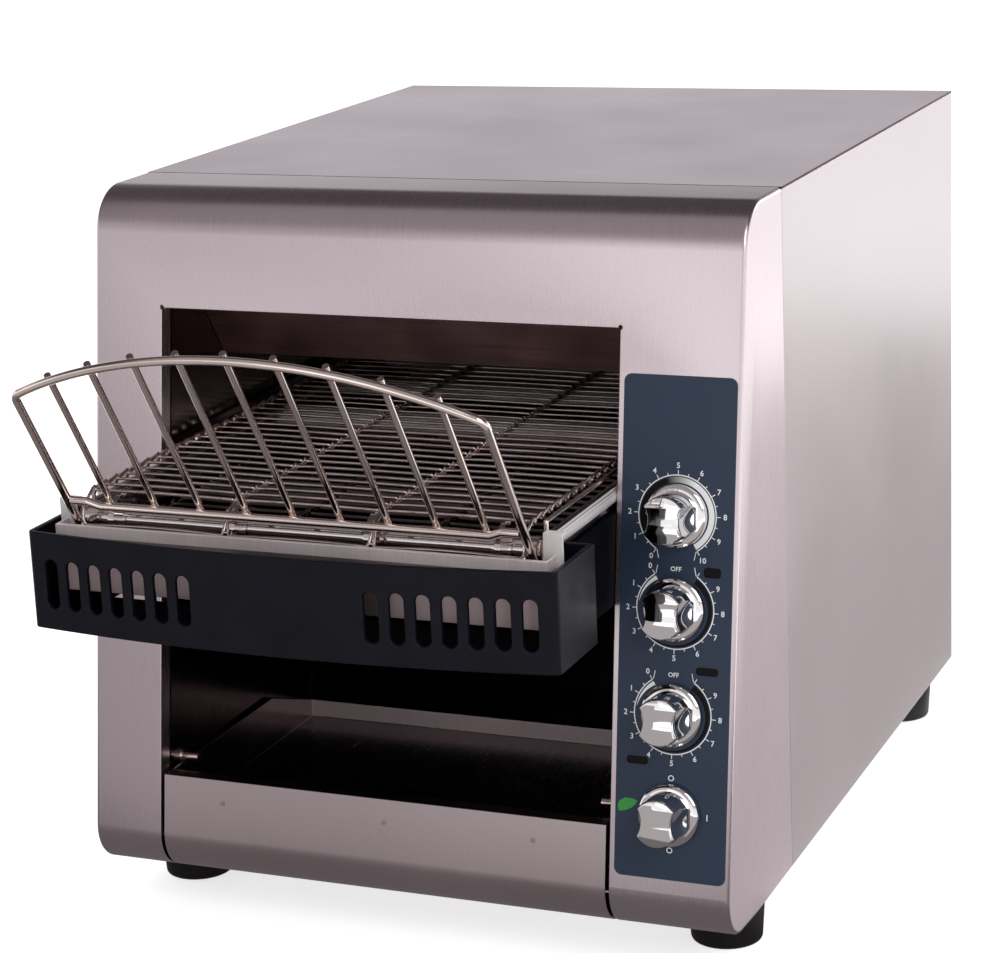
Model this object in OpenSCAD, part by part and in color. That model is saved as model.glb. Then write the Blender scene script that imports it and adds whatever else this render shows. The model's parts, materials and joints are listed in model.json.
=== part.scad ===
// Countertop conveyor toaster.
// Working frame of the modules: X across, Y backwards from the seam behind the
// front panel, Z up from the underside of the body. home() moves the finished
// pieces so that the origin lies on the counter, below the middle of the whole.

/* [Body] */
// Width of the body over its side panels
body_w = 368; // [352:1:420]
// Height of the body without its feet
body_h = 372; // [364:1:420]
// Depth of the body behind the front panel's seam
body_d = 364; // [360:1:430]
// Lean of the front face back from upright, in degrees
face_lean = 8.7; // [7:0.1:10]
// How far the foot of the front face stands ahead of the seam
face_foot = 114; // [108:1:124]
// Bend radius along the top of the front panel
top_bend_r = 26; // [18:1:32]
// Bend radius along the bottom of the front panel
low_bend_r = 22; // [14:1:24]
// Sheet thickness of the outer panels
skin_t = 1.2; // [0.8:0.1:1.6]
// Sheet thickness of the base pan
pan_t = 1.5; // [1:0.1:2.5]
// Height of the base pan's upturned edges
pan_lip_h = 14; // [8:1:20]

/* [Feet] */
// Height of a rubber foot
foot_h = 26; // [15:1:45]
// Radius of a rubber foot at its top
foot_r = 21; // [15:1:23]
// Place of the feet between the lane's wall and the body's side, as a share
foot_share = 0.4; // [0.3:0.05:0.5]
// Distance of the front feet ahead of the seam
foot_front = 41; // [20:1:44]
// Distance of the rear feet from the back of the body
foot_back = 44; // [25:1:60]
// Radius of a foot's bolt
foot_bolt_r = 4; // [3:0.5:5]

/* [Toast lane] */
// Offset of the toast lane from the middle of the body, towards the controls
lane_x = -12; // [-16:1:-8]
// Width of the toast lane
lane_w = 262; // [260:1:268]
// Height of the top of the front opening
opening_top = 310; // [302:1:316]
// Depth of the turned-in edge round the front opening
opening_turn = 10; // [6:1:12]
// Sheet thickness of the lane's inner walls
wall_t = 1; // [0.8:0.1:1.5]
// Height of the lane's ceiling
ceiling_z = 316; // [314:1:322]
// Gap left where an inner sheet meets a wall
seat_gap = 0.2; // [0.1:0.1:0.4]
// Height of the lower edge of the front baffle
baffle_low = 271; // [266:1:280]
// Distance of the rear chute from the back of the body
chute_back = 12; // [8:1:20]
// Distance of the front baffle's upper edge behind the opening's turned edge
baffle_set = 25.5; // [20:0.5:30]

/* [Conveyor] */
// Pitch of the wire belt
belt_pitch = 11.1; // [10.8:0.1:11.2]
// Least distance of the rear shaft from the back of the body
shaft_back = 60; // [54:1:64]
// Gap between the wire belt's edges and the lane's walls
belt_gap = 10; // [9.6:0.2:12]
// Radius of the belt's wire
belt_wire_r = 0.9; // [0.7:0.1:1.1]
// Distance of the belt's inner link columns from its middle
belt_link_x = 40; // [30:1:60]
// Teeth on a belt sprocket
sprocket_teeth = 8; // [8:1:9]
// Distance of the front shaft ahead of the seam
shaft_front = 165; // [160:1:170]
// Height of both conveyor shafts
shaft_z = 222; // [218:1:226]
// Radius of a conveyor shaft
shaft_r = 4; // [3:0.5:5]
// Radius of the polished spacer tubes on a shaft
spacer_r = 6.5; // [5.5:0.5:8]
// Distance of the outer sprockets from the belt's edges
sprocket_edge = 15; // [12:1:24]
// Distance of the inner sprockets from the lane's middle
sprocket_in = 37; // [30:1:60]
// Thickness of a sprocket's toothed plate
sprocket_t = 3; // [2:0.2:3.4]
// Width of a sprocket's hub
hub_w = 10; // [6:1:14]
// Thickness of a conveyor side plate
side_plate_t = 1.2; // [1:0.1:1.6]
// Gap between the belt's edge and a side plate
side_plate_gap = 6; // [5.4:0.1:6.4]
// Height of the side plates' lower edge
side_plate_low = 182; // [176:1:190]
// Radius of the rolled bead along the top of a side plate
bead_r = 4.3; // [3.5:0.1:4.5]
// Radial clearance of a shaft in its bushing
run_gap = 0.05; // [0.02:0.01:0.08]

/* [Loading end] */
// How far the slotted guard reaches past the lane on each side
guard_over = 13; // [11:0.5:16]
// Lower edge of the guard
guard_low = 170.5; // [160:0.5:175]
// Height of the guard
guard_h = 51; // [44:1:52]
// Distance of the guard's front corners ahead of the seam
guard_front = 197; // [195:1:206]
// Bow of the guard's front wall
guard_bow = 11.5; // [6:0.5:16]
// Depth of the guard's short sides
guard_side = 50.5; // [40:0.5:60]
// Outer radius of the guard's front corners
guard_corner = 4; // [3.6:0.2:12]
// Wall thickness of the guard
guard_t = 3; // [2:0.5:3.5]
// Slots in each group of the guard
slot_n = 7; // [3:1:7]
// Distance from one slot to the next
slot_pitch = 13.2; // [12:0.1:13.4]
// Distance of the last slot from the guard's end
slot_edge = 13.8; // [12:0.2:20]
// Width of a slot
slot_w = 7.6; // [5:0.1:9]
// Length of a slot
slot_len = 26; // [20:1:30]
// How far the feed plate reaches past the lane on each side
feed_over = 3.4; // [2.4:0.2:4]
// Height of the feed plate
feed_h = 34.5; // [28:0.5:38]
// How far the feed plate's top stands above the guard
feed_up = 1; // [-1:0.5:2]

/* [Wire rack] */
// Lean of the wire rack forwards from upright, in degrees
rack_lean = 32.6; // [30:0.1:36]
// Distance of the rack's legs inside the lane's width
rack_inset = 6.7; // [6.4:0.1:7]
// Wire radius of the rack's hoop and cross rod
hoop_r = 2.2; // [1.8:0.1:2.3]
// Length of the rack's legs above the shaft's level
rack_leg = 93.4; // [75:0.2:110]
// Rise of the rack's arched top above its legs
rack_arch = 32; // [20:1:45]
// Bend radius of the hoop's corners
hoop_bend_r = 7; // [5:1:14]
// Wires between the legs
rack_wires_n = 9; // [5:2:11]
// Radius of the inner wires
rack_wire_r = 1.75; // [1.4:0.05:2]
// Height of the cross rod up the rack
rod_up = 14.5; // [12:0.5:18]
// Joggle of the cross rod at its ends
rod_joggle = 3.3; // [2:0.1:5]
// How far the rack lifts out of its sockets
rack_lift = 24; // [16:1:30]

/* [Crumb tray and slide] */
// Height of the crumb tray's front
tray_front_h = 57.5; // [52:0.5:60]
// Height of the crumb tray's floor
tray_floor = 28.8; // [24:0.2:32]
// Height of the tray's rear lip above its floor
tray_lip_h = 10; // [6:1:14]
// Distance of the tray's rear lip behind the seam
tray_back = 75; // [60:1:90]
// Gap on each side of the crumb tray
tray_gap = 2; // [1.5:0.1:3]
// How far the tray pulls out
tray_travel = 150; // [100:5:170]
// Height of the toast slide's upper end
slide_high = 168; // [150:1:175]
// Bend radius of the toast slide behind the belt
slide_bend_r = 40; // [30:1:50]
// Radius of the stub pins over the tray
pin_r = 2.4; // [1.5:0.1:3]

/* [Heaters] */
// Radius of a quartz heater tube
tube_r = 5.5; // [4:0.5:6]
// Wall of a quartz heater tube
tube_wall = 1.2; // [0.8:0.1:1.6]
// Height of the upper heater tubes
upper_z = 292; // [288:1:298]
// Tubes in each bank
tubes_n = 3; // [2:1:4]
// Distance of the first tube behind the seam
tube_first = 56; // [40:1:60]
// Distance from one tube to the next
tube_pitch = 76; // [60:1:80]

/* [Controls] */
// Offset of the knobs from the middle of the panel beside the lane
knob_shift = 0.3; // [-1:0.1:1]
// Height of the conveyor speed knob
knob_z1 = 218.5; // [214:0.5:224]
// Height of the top heat knob
knob_z2 = 171.5; // [166:0.5:176]
// Height of the bottom heat knob
knob_z3 = 118; // [114:0.5:122]
// Height of the power selector knob
knob_z4 = 67; // [64:0.5:70]
// Radius of a knob's skirt
skirt_r = 16.2; // [13:0.1:19]
// Radius of a knob's grip
grip_r = 13; // [10:0.1:15]
// Height of a knob above the control plate
knob_h = 23; // [18:0.5:30]
// Width of a knob's waist
waist_w = 16; // [11:0.5:18]
// Margin of the panel left beside the control plate
plate_margin = 2.7; // [2:0.1:5]
// Lower end of the control plate
plate_low = 33; // [28:1:38]
// Upper end of the control plate
plate_high = 288; // [270:1:300]
// Thickness of the control plate
plate_t = 0.8; // [0.5:0.1:1.2]
// Radius of a control spindle
spindle_r = 3; // [2.5:0.1:3.5]

/* [Drive and cooling] */
// Teeth on the motor's chain sprocket
motor_teeth = 9; // [9:1:11]
// Teeth on the conveyor's chain sprocket
drive_teeth = 12; // [11:1:14]
// Pitch of the drive chain
chain_pitch = 6.35; // [6:0.05:6.6]
// Height of the motor's output shaft
motor_z = 124; // [110:1:134]
// Length of the gearbox
gearbox_l = 60; // [50:1:66]
// Height of the gearbox
gearbox_h = 52; // [44:1:56]
// Length of the motor behind its gearbox
motor_l = 48; // [40:1:56]
// Gap left beside the cooling fan's blades
fan_gap = 5.9; // [5.9:0.1:9]

/* [Hidden] */
$fn = 48;

// Colours of the finishes
steel = [0.70, 0.67, 0.67];
dark_steel = [0.34, 0.31, 0.30];
bright = [0.86, 0.85, 0.83];
black = [0.09, 0.10, 0.13];
slate = [0.18, 0.23, 0.31];

// Lets a bend overlap the flats beside it
blend = 0.002;

// Body
half_w = body_w / 2;
inner_half = half_w - skin_t;
lean_tan = tan(face_lean);
top_c = [face_y(body_h - top_bend_r) + top_bend_r / cos(face_lean), body_h - top_bend_r];
low_c = [face_y(low_bend_r) + low_bend_r / cos(face_lean), low_bend_r];
panel_foot_y = -62;
seam_gap = 0.3;
cover_flange = 14;
foot_ys = [-foot_front, body_d - foot_back];

// Lane
lane_l = lane_x - lane_w / 2;
lane_r = lane_x + lane_w / 2;
chute_y = body_d - skin_t - chute_back;
lane_floor = pan_t;
foot_x = wall_t - lane_l + foot_share * (inner_half + lane_l - wall_t);

// Chamber beside the lane, behind the controls
panel_w = half_w - lane_r;
side_room = inner_half - lane_r;
side_mid = lane_r + side_room / 2;

// Conveyor
belt_w = lane_w - 2 * belt_gap;
wrap_r = belt_pitch / (2 * sin(180 / sprocket_teeth));
belt_rows = 2 * floor((body_d + shaft_front - shaft_back + PI * wrap_r) / belt_pitch);
shaft_span = (belt_rows * belt_pitch - 2 * PI * wrap_r) / 2;
front_y = -shaft_front;
rear_y = front_y + shaft_span;
belt_top = shaft_z + wrap_r;
plate_in = belt_w / 2 + side_plate_gap;
plate_out = plate_in + side_plate_t;
bead_z = shaft_z + 3.4;
plate_nose = front_y - 8;
plate_tail = rear_y + 16;
bushing_r = shaft_r + 2.5;
hub_r = spacer_r + 1.5;
sprocket_out = belt_w / 2 - sprocket_edge;

// Loading end
guard_half = lane_w / 2 + guard_over;
slot_first = guard_half - slot_edge - (slot_n - 1) * slot_pitch;
feed_half = lane_w / 2 + feed_over;
arm_out = lane_w / 2;
arm_in = arm_out - guard_t + 0.4;
guard_top = guard_low + guard_h;
guard_back = -(guard_front - guard_side);
bow_r = (guard_half * guard_half + guard_bow * guard_bow) / (2 * guard_bow);
feed_y = front_y - wrap_r - 4.3;
feed_top = guard_top + feed_up;

// Rack: a plane through the legs at the shaft's level
rack_half = lane_w / 2 - rack_inset;
rack_y = front_y - 12.5;
rack_z = shaft_z - 0.5;
leg_down = 17;
arch_r = (rack_half * rack_half + rack_arch * rack_arch) / (2 * rack_arch);
wire_gap = (rack_half - hoop_r) * 2 / (rack_wires_n + 1) * 1.05;
wire_back = hoop_r + rack_wire_r + 0.02;
rack_top = rack_leg + rack_arch;

// Whole
y_front = rack_y - rack_top * sin(rack_lean) - hoop_r;
bush_out = 6;
y_mid = (y_front + body_d + bush_out) / 2;

// Controls
knob_x = lane_r + panel_w / 2 + knob_shift;
plate_w = panel_w - 2 * plate_margin;
knob_zs = [knob_z1, knob_z2, knob_z3, knob_z4];
stem_r = 4.5;
skirt_gap = 0.7;
spindle_up = 14;

// Drive
motor_y = rear_y - 8;
chain_x = lane_r + wall_t + 10;
drive_pitch_r = chain_pitch / (2 * sin(180 / drive_teeth));
motor_pitch_r = chain_pitch / (2 * sin(180 / motor_teeth));
chain_half_h = 2.6;
chain_w = 6;
motor_x = chain_x + chain_w / 2 + 5;
motor_room = inner_half - motor_x;
fan_r = side_room / 2 - fan_gap;
fan_x = side_mid + 1;
fan_z = 2 * fan_r;
fan_size = 2 * fan_r + 6;
bush_x = side_mid;
bush_z = 150;

function face_y(z) = z * lean_tan - face_foot;

module home() { translate([0, -y_mid, foot_h]) children(); }

// Extrudes a side-view outline (Y, Z) across the body from x0 to x1
module across(x0, x1) {
  translate([x0, 0, 0]) rotate([90, 0, 90]) linear_extrude(x1 - x0) children();
}

// A round bar along X
module cross_bar(x0, x1, y, z, r) {
  translate([x0, y, z]) rotate([0, 90, 0]) cylinder(h = x1 - x0, r = r);
}

// Moves to the front face at x, z, with Z out of the face
module on_face(x, z) {
  translate([x, face_y(z), z]) rotate([90 - face_lean, 0, 0]) children();
}

// Side view of the front panel, drawn inside its outer face by inset
module front_outline(inset, back) {
  c = cos(face_lean);
  s = sin(face_lean);
  rt = top_bend_r - inset;
  rl = low_bend_r - inset;
  polygon([[back, body_h - inset], [top_c[0], body_h - inset],
    [top_c[0] - rt * c, top_c[1] + rt * s], [low_c[0] - rl * c, low_c[1] + rl * s],
    [low_c[0], inset], [back, inset]]);
  translate(top_c) circle(r = rt + blend);
  translate(low_c) circle(r = rl + blend);
}

module bent_sheet() {
  difference() {
    front_outline(0, 0);
    front_outline(skin_t, 1);
  }
}

// ---- Casing ----

module base_pan() home() color(steel) {
  y0 = panel_foot_y + seam_gap;
  y1 = body_d - skin_t;
  lip_y = [y0 + 2, y1];
  difference() {
    union() {
      translate([-inner_half, y0, 0]) cube([2 * inner_half, y1 - y0, pan_t]);
      for (s = [-1, 1]) translate([s * (inner_half - pan_t / 2) - pan_t / 2, lip_y[0], 0])
        cube([pan_t, lip_y[1] - lip_y[0], pan_lip_h]);
      translate([-inner_half, y1 - pan_t, 0]) cube([2 * inner_half, pan_t, pan_lip_h]);
    }
    for (x = [-foot_x, foot_x], y = foot_ys) translate([x, y, -1]) cylinder(h = pan_t + 2, r = foot_bolt_r + 0.3);
    back_screw_holes();
    for (i = [0:5]) translate([lane_r + 14, 110 + 14 * i, -1]) cube([side_room - 30, 5, pan_t + 2]);
  }
}

module front_panel() home() color(steel) {
  difference() {
    union() {
      across(-half_w, half_w) bent_sheet();
      for (x = [-half_w, half_w - skin_t]) across(x, x + skin_t) front_outline(0, 0);
      across(lane_l - skin_t, lane_l) opening_edge();
      across(lane_r, lane_r + skin_t) opening_edge();
      across(lane_l - skin_t, lane_r + skin_t) opening_header();
    }
    translate([lane_l, -2 * face_foot, -1]) cube([lane_w, 2 * face_foot - 0.5, opening_top + 1]);
    translate([-inner_half, panel_foot_y, -1]) cube([2 * inner_half, -panel_foot_y + 1, skin_t + 1.5]);
    for (x = [lane_l, lane_r]) on_face(x, opening_top + 0.4) rotate([0, 0, 35]) translate([0, 0, -4]) cylinder(h = 8, r = 1);
    for (z = knob_zs) on_face(knob_x, z) translate([0, 0, -4]) cylinder(h = 8, r = stem_r + 0.4);
  }
}

// Turned-in edge beside the opening
module opening_edge() {
  intersection() {
    difference() {
      front_outline(0, 0);
      translate([opening_turn, 0]) front_outline(0, 1);
    }
    translate([-2 * face_foot, low_bend_r]) square([3 * face_foot, opening_top - low_bend_r + skin_t]);
  }
}

// Turned-in edge above the opening
module opening_header() {
  translate([face_y(opening_top) + 0.3, opening_top]) square([opening_turn, skin_t]);
}

module top_cover() home() color(steel) {
  translate([-half_w, seam_gap, body_h - skin_t]) cube([body_w, body_d - seam_gap, skin_t]);
  difference() {
    translate([-inner_half, body_d - skin_t - 1 - skin_t, body_h - cover_flange]) cube([2 * inner_half, skin_t, cover_flange - skin_t / 2]);
    back_screw_holes();
  }
}

flange_w = 9;
module side_panel(x) {
  translate([x, seam_gap, 0]) cube([skin_t, body_d - seam_gap, body_h - skin_t]);
  inward = x > 0 ? -1 : 1;
  edge = x > 0 ? x : x + skin_t;
  translate([min(edge, edge + inward * flange_w), seam_gap + 2, pan_lip_h + 6]) cube([flange_w, skin_t, body_h - pan_lip_h - 30]);
}

module left_side_panel() home() color(steel) side_panel(-half_w);
module right_side_panel() home() color(steel) side_panel(inner_half);

module back_panel() home() color(steel) {
  difference() {
    translate([-inner_half, body_d - skin_t, 0]) cube([2 * inner_half, skin_t, body_h - skin_t]);
    translate([fan_x, body_d - skin_t - 1, fan_z]) rotate([-90, 0, 0]) cylinder(h = skin_t + 2, r = fan_r - 1);
    translate([bush_x, body_d - skin_t - 1, bush_z]) rotate([-90, 0, 0]) cylinder(h = skin_t + 2, r = 8.2);
    for (i = [0:5], j = [0, 1]) translate([-150 + 46 * i, body_d - skin_t - 1, 300 + 16 * j]) cube([34, skin_t + 2, 5]);
    back_screw_holes();
  }
  for (a = [0:45:135]) translate([fan_x, body_d - skin_t, fan_z]) rotate([0, a, 0]) translate([-fan_r, 0, -0.8])
    cube([2 * fan_r, skin_t, 1.6]);
  translate([fan_x, body_d - skin_t, fan_z]) rotate([-90, 0, 0]) difference() {
    cylinder(h = skin_t, r = fan_r * 0.6);
    translate([0, 0, -1]) cylinder(h = skin_t + 2, r = fan_r * 0.6 - 1.6);
  }
}

function back_screws() = [for (x = [-inner_half + 8, 0, inner_half - 8], z = [7, body_h - 8]) [x, z]];

module back_screw_holes()
  for (p = back_screws()) translate([p[0], body_d - 8, p[1]]) rotate([-90, 0, 0]) cylinder(h = 9, r = 2.05);

module feet() home() color(black)
  for (x = [-foot_x, foot_x], y = foot_ys) translate([x, y, -foot_h]) difference() {
    cylinder(h = foot_h, r1 = foot_r - 1.8, r2 = foot_r);
    translate([0, 0, 10]) cylinder(h = foot_h, r = foot_bolt_r + 0.02);
  }

module foot_bolts() home() color(bright)
  for (x = [-foot_x, foot_x], y = foot_ys) translate([x, y, 10 - foot_h]) {
    cylinder(h = foot_h - 10 + pan_t + 7, r = foot_bolt_r);
    translate([0, 0, foot_h - 10 + pan_t]) cylinder(h = 5, r = foot_bolt_r * 1.8, $fn = 6);
  }

module control_plate() home() color(slate) {
  l = (plate_high - plate_low) / cos(face_lean);
  r = 4;
  on_face(knob_x, plate_low) translate([0, 0, 0.02]) difference() {
    union() {
      translate([-plate_w / 2 + r, 0, 0]) cube([plate_w - 2 * r, l, plate_t]);
      translate([-plate_w / 2, r, 0]) cube([plate_w, l - 2 * r, plate_t]);
      for (x = [-1, 1], y = [r, l - r]) translate([x * (plate_w / 2 - r), y, 0]) cylinder(h = plate_t, r = r);
    }
    for (z = knob_zs) translate([0, (z - plate_low) / cos(face_lean), -1]) cylinder(h = plate_t + 2, r = stem_r + 0.4);
  }
}

// ---- Toast lane ----

// Side view of a lane wall, from behind the opening's edge to the back
module lane_wall_outline() {
  g = opening_turn + 1;
  back = body_d - skin_t - pan_t - 0.2;
  polygon([[low_c[0], lane_floor], [back, lane_floor], [back, ceiling_z + 6], 
    [face_y(ceiling_z + 6) + g, ceiling_z + 6], [face_y(low_bend_r) + g, low_bend_r]]);
}

module lane_wall(x) {
  difference() {
    across(x, x + wall_t) lane_wall_outline();
    for (y = tube_ys(), z = [upper_z, shaft_z]) cross_bar(x - 1, x + wall_t + 1, y, z, tube_r + 0.4);
    cross_bar(x - 1, x + wall_t + 1, rear_y, shaft_z, shaft_r + 2);
    cross_bar(x - 1, x + wall_t + 1, pin_y, pin_z, pin_r);
  }
}

function tube_ys() = [for (i = [0:tubes_n - 1]) tube_first + i * tube_pitch];

module left_lane_wall() home() color(dark_steel) lane_wall(lane_l - wall_t);
module right_lane_wall() home() color(dark_steel) lane_wall(lane_r);

baffle_top_y = face_y(opening_top) + opening_turn + baffle_set;
baffle_run = (ceiling_z - baffle_low) * 0.69;

module lane_ceiling() home() color(dark_steel)
  translate([lane_l + seat_gap, baffle_top_y + 2, ceiling_z]) cube([lane_w - 2 * seat_gap, chute_y - baffle_top_y - 2.2, wall_t]);

module front_baffle() home() color(dark_steel)
  across(lane_l + seat_gap, lane_r - seat_gap)
    polygon([[baffle_top_y, ceiling_z], [baffle_top_y + baffle_run, baffle_low],
      [baffle_top_y + baffle_run + 8, baffle_low], [baffle_top_y + baffle_run + 8, baffle_low + wall_t],
      [baffle_top_y + baffle_run + wall_t, baffle_low + wall_t], [baffle_top_y + 1.6, ceiling_z - seat_gap],
      [baffle_top_y + 1.6, ceiling_z + 6], [baffle_top_y, ceiling_z + 6]]);

module rear_chute() home() color(dark_steel)
  translate([lane_l + seat_gap, chute_y, slide_high + 0.2]) cube([lane_w - 2 * seat_gap, wall_t, ceiling_z + 6 - slide_high]);

// Slide that carries the toast from below the belt's rear end to the tray
slide_foot_y = tray_back + 3;
slide_foot_z = tray_floor + tray_lip_h + 1;
module toast_slide() home() color(dark_steel) {
  r = slide_bend_r;
  slope = atan2(slide_high - r * 0.62 - slide_foot_z, chute_y - r - slide_foot_y);
  run = r * tan((90 - slope) / 2);
  corner_z = slide_foot_z + (chute_y - slide_foot_y) * tan(slope);
  c = [chute_y - r, corner_z + run];
  p = [chute_y - run * cos(slope), corner_z - run * sin(slope)];
  up = [-sin(slope), cos(slope)];
  foot = [slide_foot_y, slide_foot_z];
  across(lane_l + seat_gap, lane_r - seat_gap) {
    polygon([foot, p, p + wall_t * up, foot + wall_t * up]);
    intersection() {
      difference() {
        translate(c) circle(r = r + blend);
        translate(c) circle(r = r - wall_t - blend);
      }
      polygon([c, c - 3 * r * up + [-0.1, 0], c + [3 * r, -3 * r * cos(slope)], c + [3 * r, 0.05]]);
    }
    translate([chute_y - wall_t, c[1]]) square([wall_t, max(1, slide_high - c[1])]);
  }
  for (x = [lane_l + seat_gap, lane_r - seat_gap - wall_t]) across(x, x + wall_t)
    polygon([foot, p, p + 10 * up, foot + [8, 8 * tan(slope) + 10 / cos(slope)], foot + [0, 6]]);
}

pin_y = -83;
pin_z = tray_front_h + 0.6 + pin_r;
tray_l = lane_l + tray_gap;
tray_r = lane_r - tray_gap;

module crumb_tray() home() color(steel) {
  t = skin_t;
  front_in = face_y(tray_front_h) + 8;
  intersection() {
    across(tray_l, tray_r) bent_sheet();
    translate([tray_l, -2 * face_foot, -1]) cube([tray_r - tray_l, 2 * face_foot + panel_foot_y - 2, tray_front_h + 1]);
  }
  difference() {
    across(tray_l, tray_r) intersection() {
      front_outline(0.4, 0);
      translate([-2 * face_foot, tray_front_h - t]) square([2 * face_foot + front_in + t, t]);
    }
  }
  translate([tray_l, front_in, tray_floor - t]) cube([tray_r - tray_l, t, tray_front_h - tray_floor + t]);
  translate([tray_l, front_in, tray_floor - t]) cube([tray_r - tray_l, tray_back - front_in, t]);
  translate([tray_l, tray_back - t, tray_floor - t]) cube([tray_r - tray_l, t, tray_lip_h + t]);
  for (x = [tray_l, tray_r - t]) across(x, x + t)
    polygon([[front_in, tray_floor - t], [tray_back, tray_floor - t], [tray_back, tray_floor + tray_lip_h],
      [tray_back - 52, tray_front_h], [front_in, tray_front_h]]);
}

module tray_runners() home() color(steel) {
  z1 = tray_floor - skin_t;
  for (s = [-1, 1]) translate([lane_x + s * (lane_w / 2 - 16), -50, pan_t]) {
    translate([-0.75, 0, 0]) cube([1.5, tray_back + 46, z1 - pan_t - 0.1]);
    translate([s > 0 ? -10 : 0, 0, z1 - pan_t - 1.6]) cube([10, tray_back + 46, 1.5]);
    translate([s > 0 ? -10 : 0, 0, 0]) cube([10, tray_back + 46, 1.5]);
  }
}

module tray_pins() home() color(bright)
  for (s = [-1, 1]) {
    x = s < 0 ? lane_l : lane_r;
    cross_bar(min(x + s * 9, x - s * 12), max(x + s * 9, x - s * 12), pin_y, pin_z, pin_r - 0.02);
    cross_bar(min(x, x - s * 1.7), max(x, x - s * 1.7), pin_y, pin_z, pin_r * 1.65);
  }

// ---- Heaters ----

cap_len = 11;
module heater_tubes(z, r) {
  for (y = tube_ys()) difference() {
    cross_bar(lane_l - wall_t - 8, lane_r + wall_t + 8, y, z, r);
    cross_bar(lane_l - wall_t - 9, lane_r + wall_t + 9, y, z, r - tube_wall);
  }
}

module upper_heater_tubes() home() color("ivory") heater_tubes(upper_z, tube_r);
module lower_heater_tubes() home() color("ivory") heater_tubes(shaft_z, tube_r);

module heater_coils() home() color("darkorange")
  for (y = tube_ys(), z = [upper_z, shaft_z])
    cross_bar(lane_l - wall_t - 8, lane_r + wall_t + 8, y, z, tube_r - tube_wall - 0.3);

module heater_end_caps() home() color("white")
  for (y = tube_ys(), z = [upper_z, shaft_z], s = [-1, 1]) {
    x = s < 0 ? lane_l - wall_t : lane_r + wall_t;
    difference() {
      cross_bar(min(x, x + s * cap_len), max(x, x + s * cap_len), y, z, tube_r + 3);
      cross_bar(min(x - s, x + s * 8.02), max(x - s, x + s * 8.02), y, z, tube_r + 0.02);
    }
  }

// ---- Conveyor ----

// A conveyor side plate on side s, with its rolled bead and front tab
module side_plate(s) {
  x0 = s > 0 ? lane_x + plate_in : lane_x - plate_out;
  x1 = x0 + side_plate_t;
  bead_x = lane_x + s * (lane_w / 2 - bead_r - 0.3);
  difference() {
    union() {
      across(x0, x1) {
        translate([plate_nose + 6, side_plate_low]) square([plate_tail - plate_nose - 6, bead_z - side_plate_low + 1]);
        translate([plate_nose, side_plate_low]) square([8, bead_z - side_plate_low - 5]);
        translate([plate_nose + 6, bead_z - 5]) circle(r = 6);
      }
      translate([bead_x, plate_nose + 6, bead_z]) rotate([-90, 0, 0]) cylinder(h = plate_tail - plate_nose - 6, r = bead_r);
    }
    for (y = [front_y, rear_y]) cross_bar(x0 - 10, x1 + 10, y, shaft_z, bushing_r + 0.02);
    for (y = tube_ys()) cross_bar(x0 - 10, x1 + 10, y, shaft_z, tube_r + 0.4);
    translate([bead_x, plate_nose, bead_z]) rotate([-90, 0, 0]) cylinder(h = plate_tail - plate_nose + 2, r = bead_r - 1);
  }
  tab_w = guard_half - guard_t - plate_out - 2.5;
  tab_x = s > 0 ? x1 - 0.5 : x0 - tab_w + 0.5;
  tab_top = bead_z + bead_r + 3.4;
  translate([tab_x, plate_nose, side_plate_low + 4]) cube([tab_w, side_plate_t, tab_top - side_plate_low - 4]);
  translate([tab_x, plate_nose, tab_top - side_plate_t]) cube([tab_w, 5.5, side_plate_t]);
}

module left_side_plate() home() color(bright) side_plate(-1);
module right_side_plate() home() color(bright) side_plate(1);

// Short posts that carry the side plates on the lane walls
post_front = 40;
post_back = 60;
module conveyor_spacers() home() color(steel)
  for (s = [-1, 1], y = [-post_front, (rear_y - post_back - post_front) / 2, rear_y - post_back]) {
    a = lane_x + s * (plate_out);
    b = lane_x + s * lane_w / 2;
    cross_bar(min(a, b), max(a, b), y, side_plate_low + 10, 5);
  }

module shaft_bushings() home() color("peru")
  for (s = [-1, 1], y = [front_y, rear_y]) {
    x = lane_x + s * plate_in;
    difference() {
      cross_bar(min(x - s * 1.4, x + s * side_plate_t), max(x - s * 1.4, x + s * side_plate_t), y, shaft_z, bushing_r);
      cross_bar(x - 10, x + 10, y, shaft_z, shaft_r + run_gap);
    }
  }

function sprocket_xs() = [-sprocket_out, -sprocket_in, sprocket_in, sprocket_out];

// A belt sprocket: a hub and a plate with pockets for the belt's wires
module belt_sprocket(x, y) {
  tip = wrap_r - belt_wire_r - 0.5;
  difference() {
    union() {
      cross_bar(x - sprocket_t / 2, x + sprocket_t / 2, y, shaft_z, tip);
      cross_bar(x - hub_w / 2, x + hub_w / 2, y, shaft_z, hub_r);
    }
    for (i = [0:sprocket_teeth - 1]) translate([x, y, shaft_z]) rotate([i * 360 / sprocket_teeth, 0, 0])
      translate([-sprocket_t, 0, tip + 0.8]) rotate([0, 90, 0]) cylinder(h = 2 * sprocket_t, r = 2.6, $fn = 24);
    cross_bar(x - hub_w, x + hub_w, y, shaft_z, shaft_r + 0.01);
  }
}

module sprockets(y) { for (x = sprocket_xs()) belt_sprocket(lane_x + x, y); }

module spacer_tubes(y) {
  g = hub_w / 2 + 0.1;
  ends = [-plate_in + 1.6, -sprocket_out - g, -sprocket_out + g, -sprocket_in - g, -sprocket_in + g,
    sprocket_in - g, sprocket_in + g, sprocket_out - g, sprocket_out + g, plate_in - 1.6];
  for (i = [0:2:8]) difference() {
    cross_bar(lane_x + ends[i], lane_x + ends[i + 1], y, shaft_z, spacer_r);
    cross_bar(lane_x + ends[i] - 1, lane_x + ends[i + 1] + 1, y, shaft_z, shaft_r + 0.01);
  }
}

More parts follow.
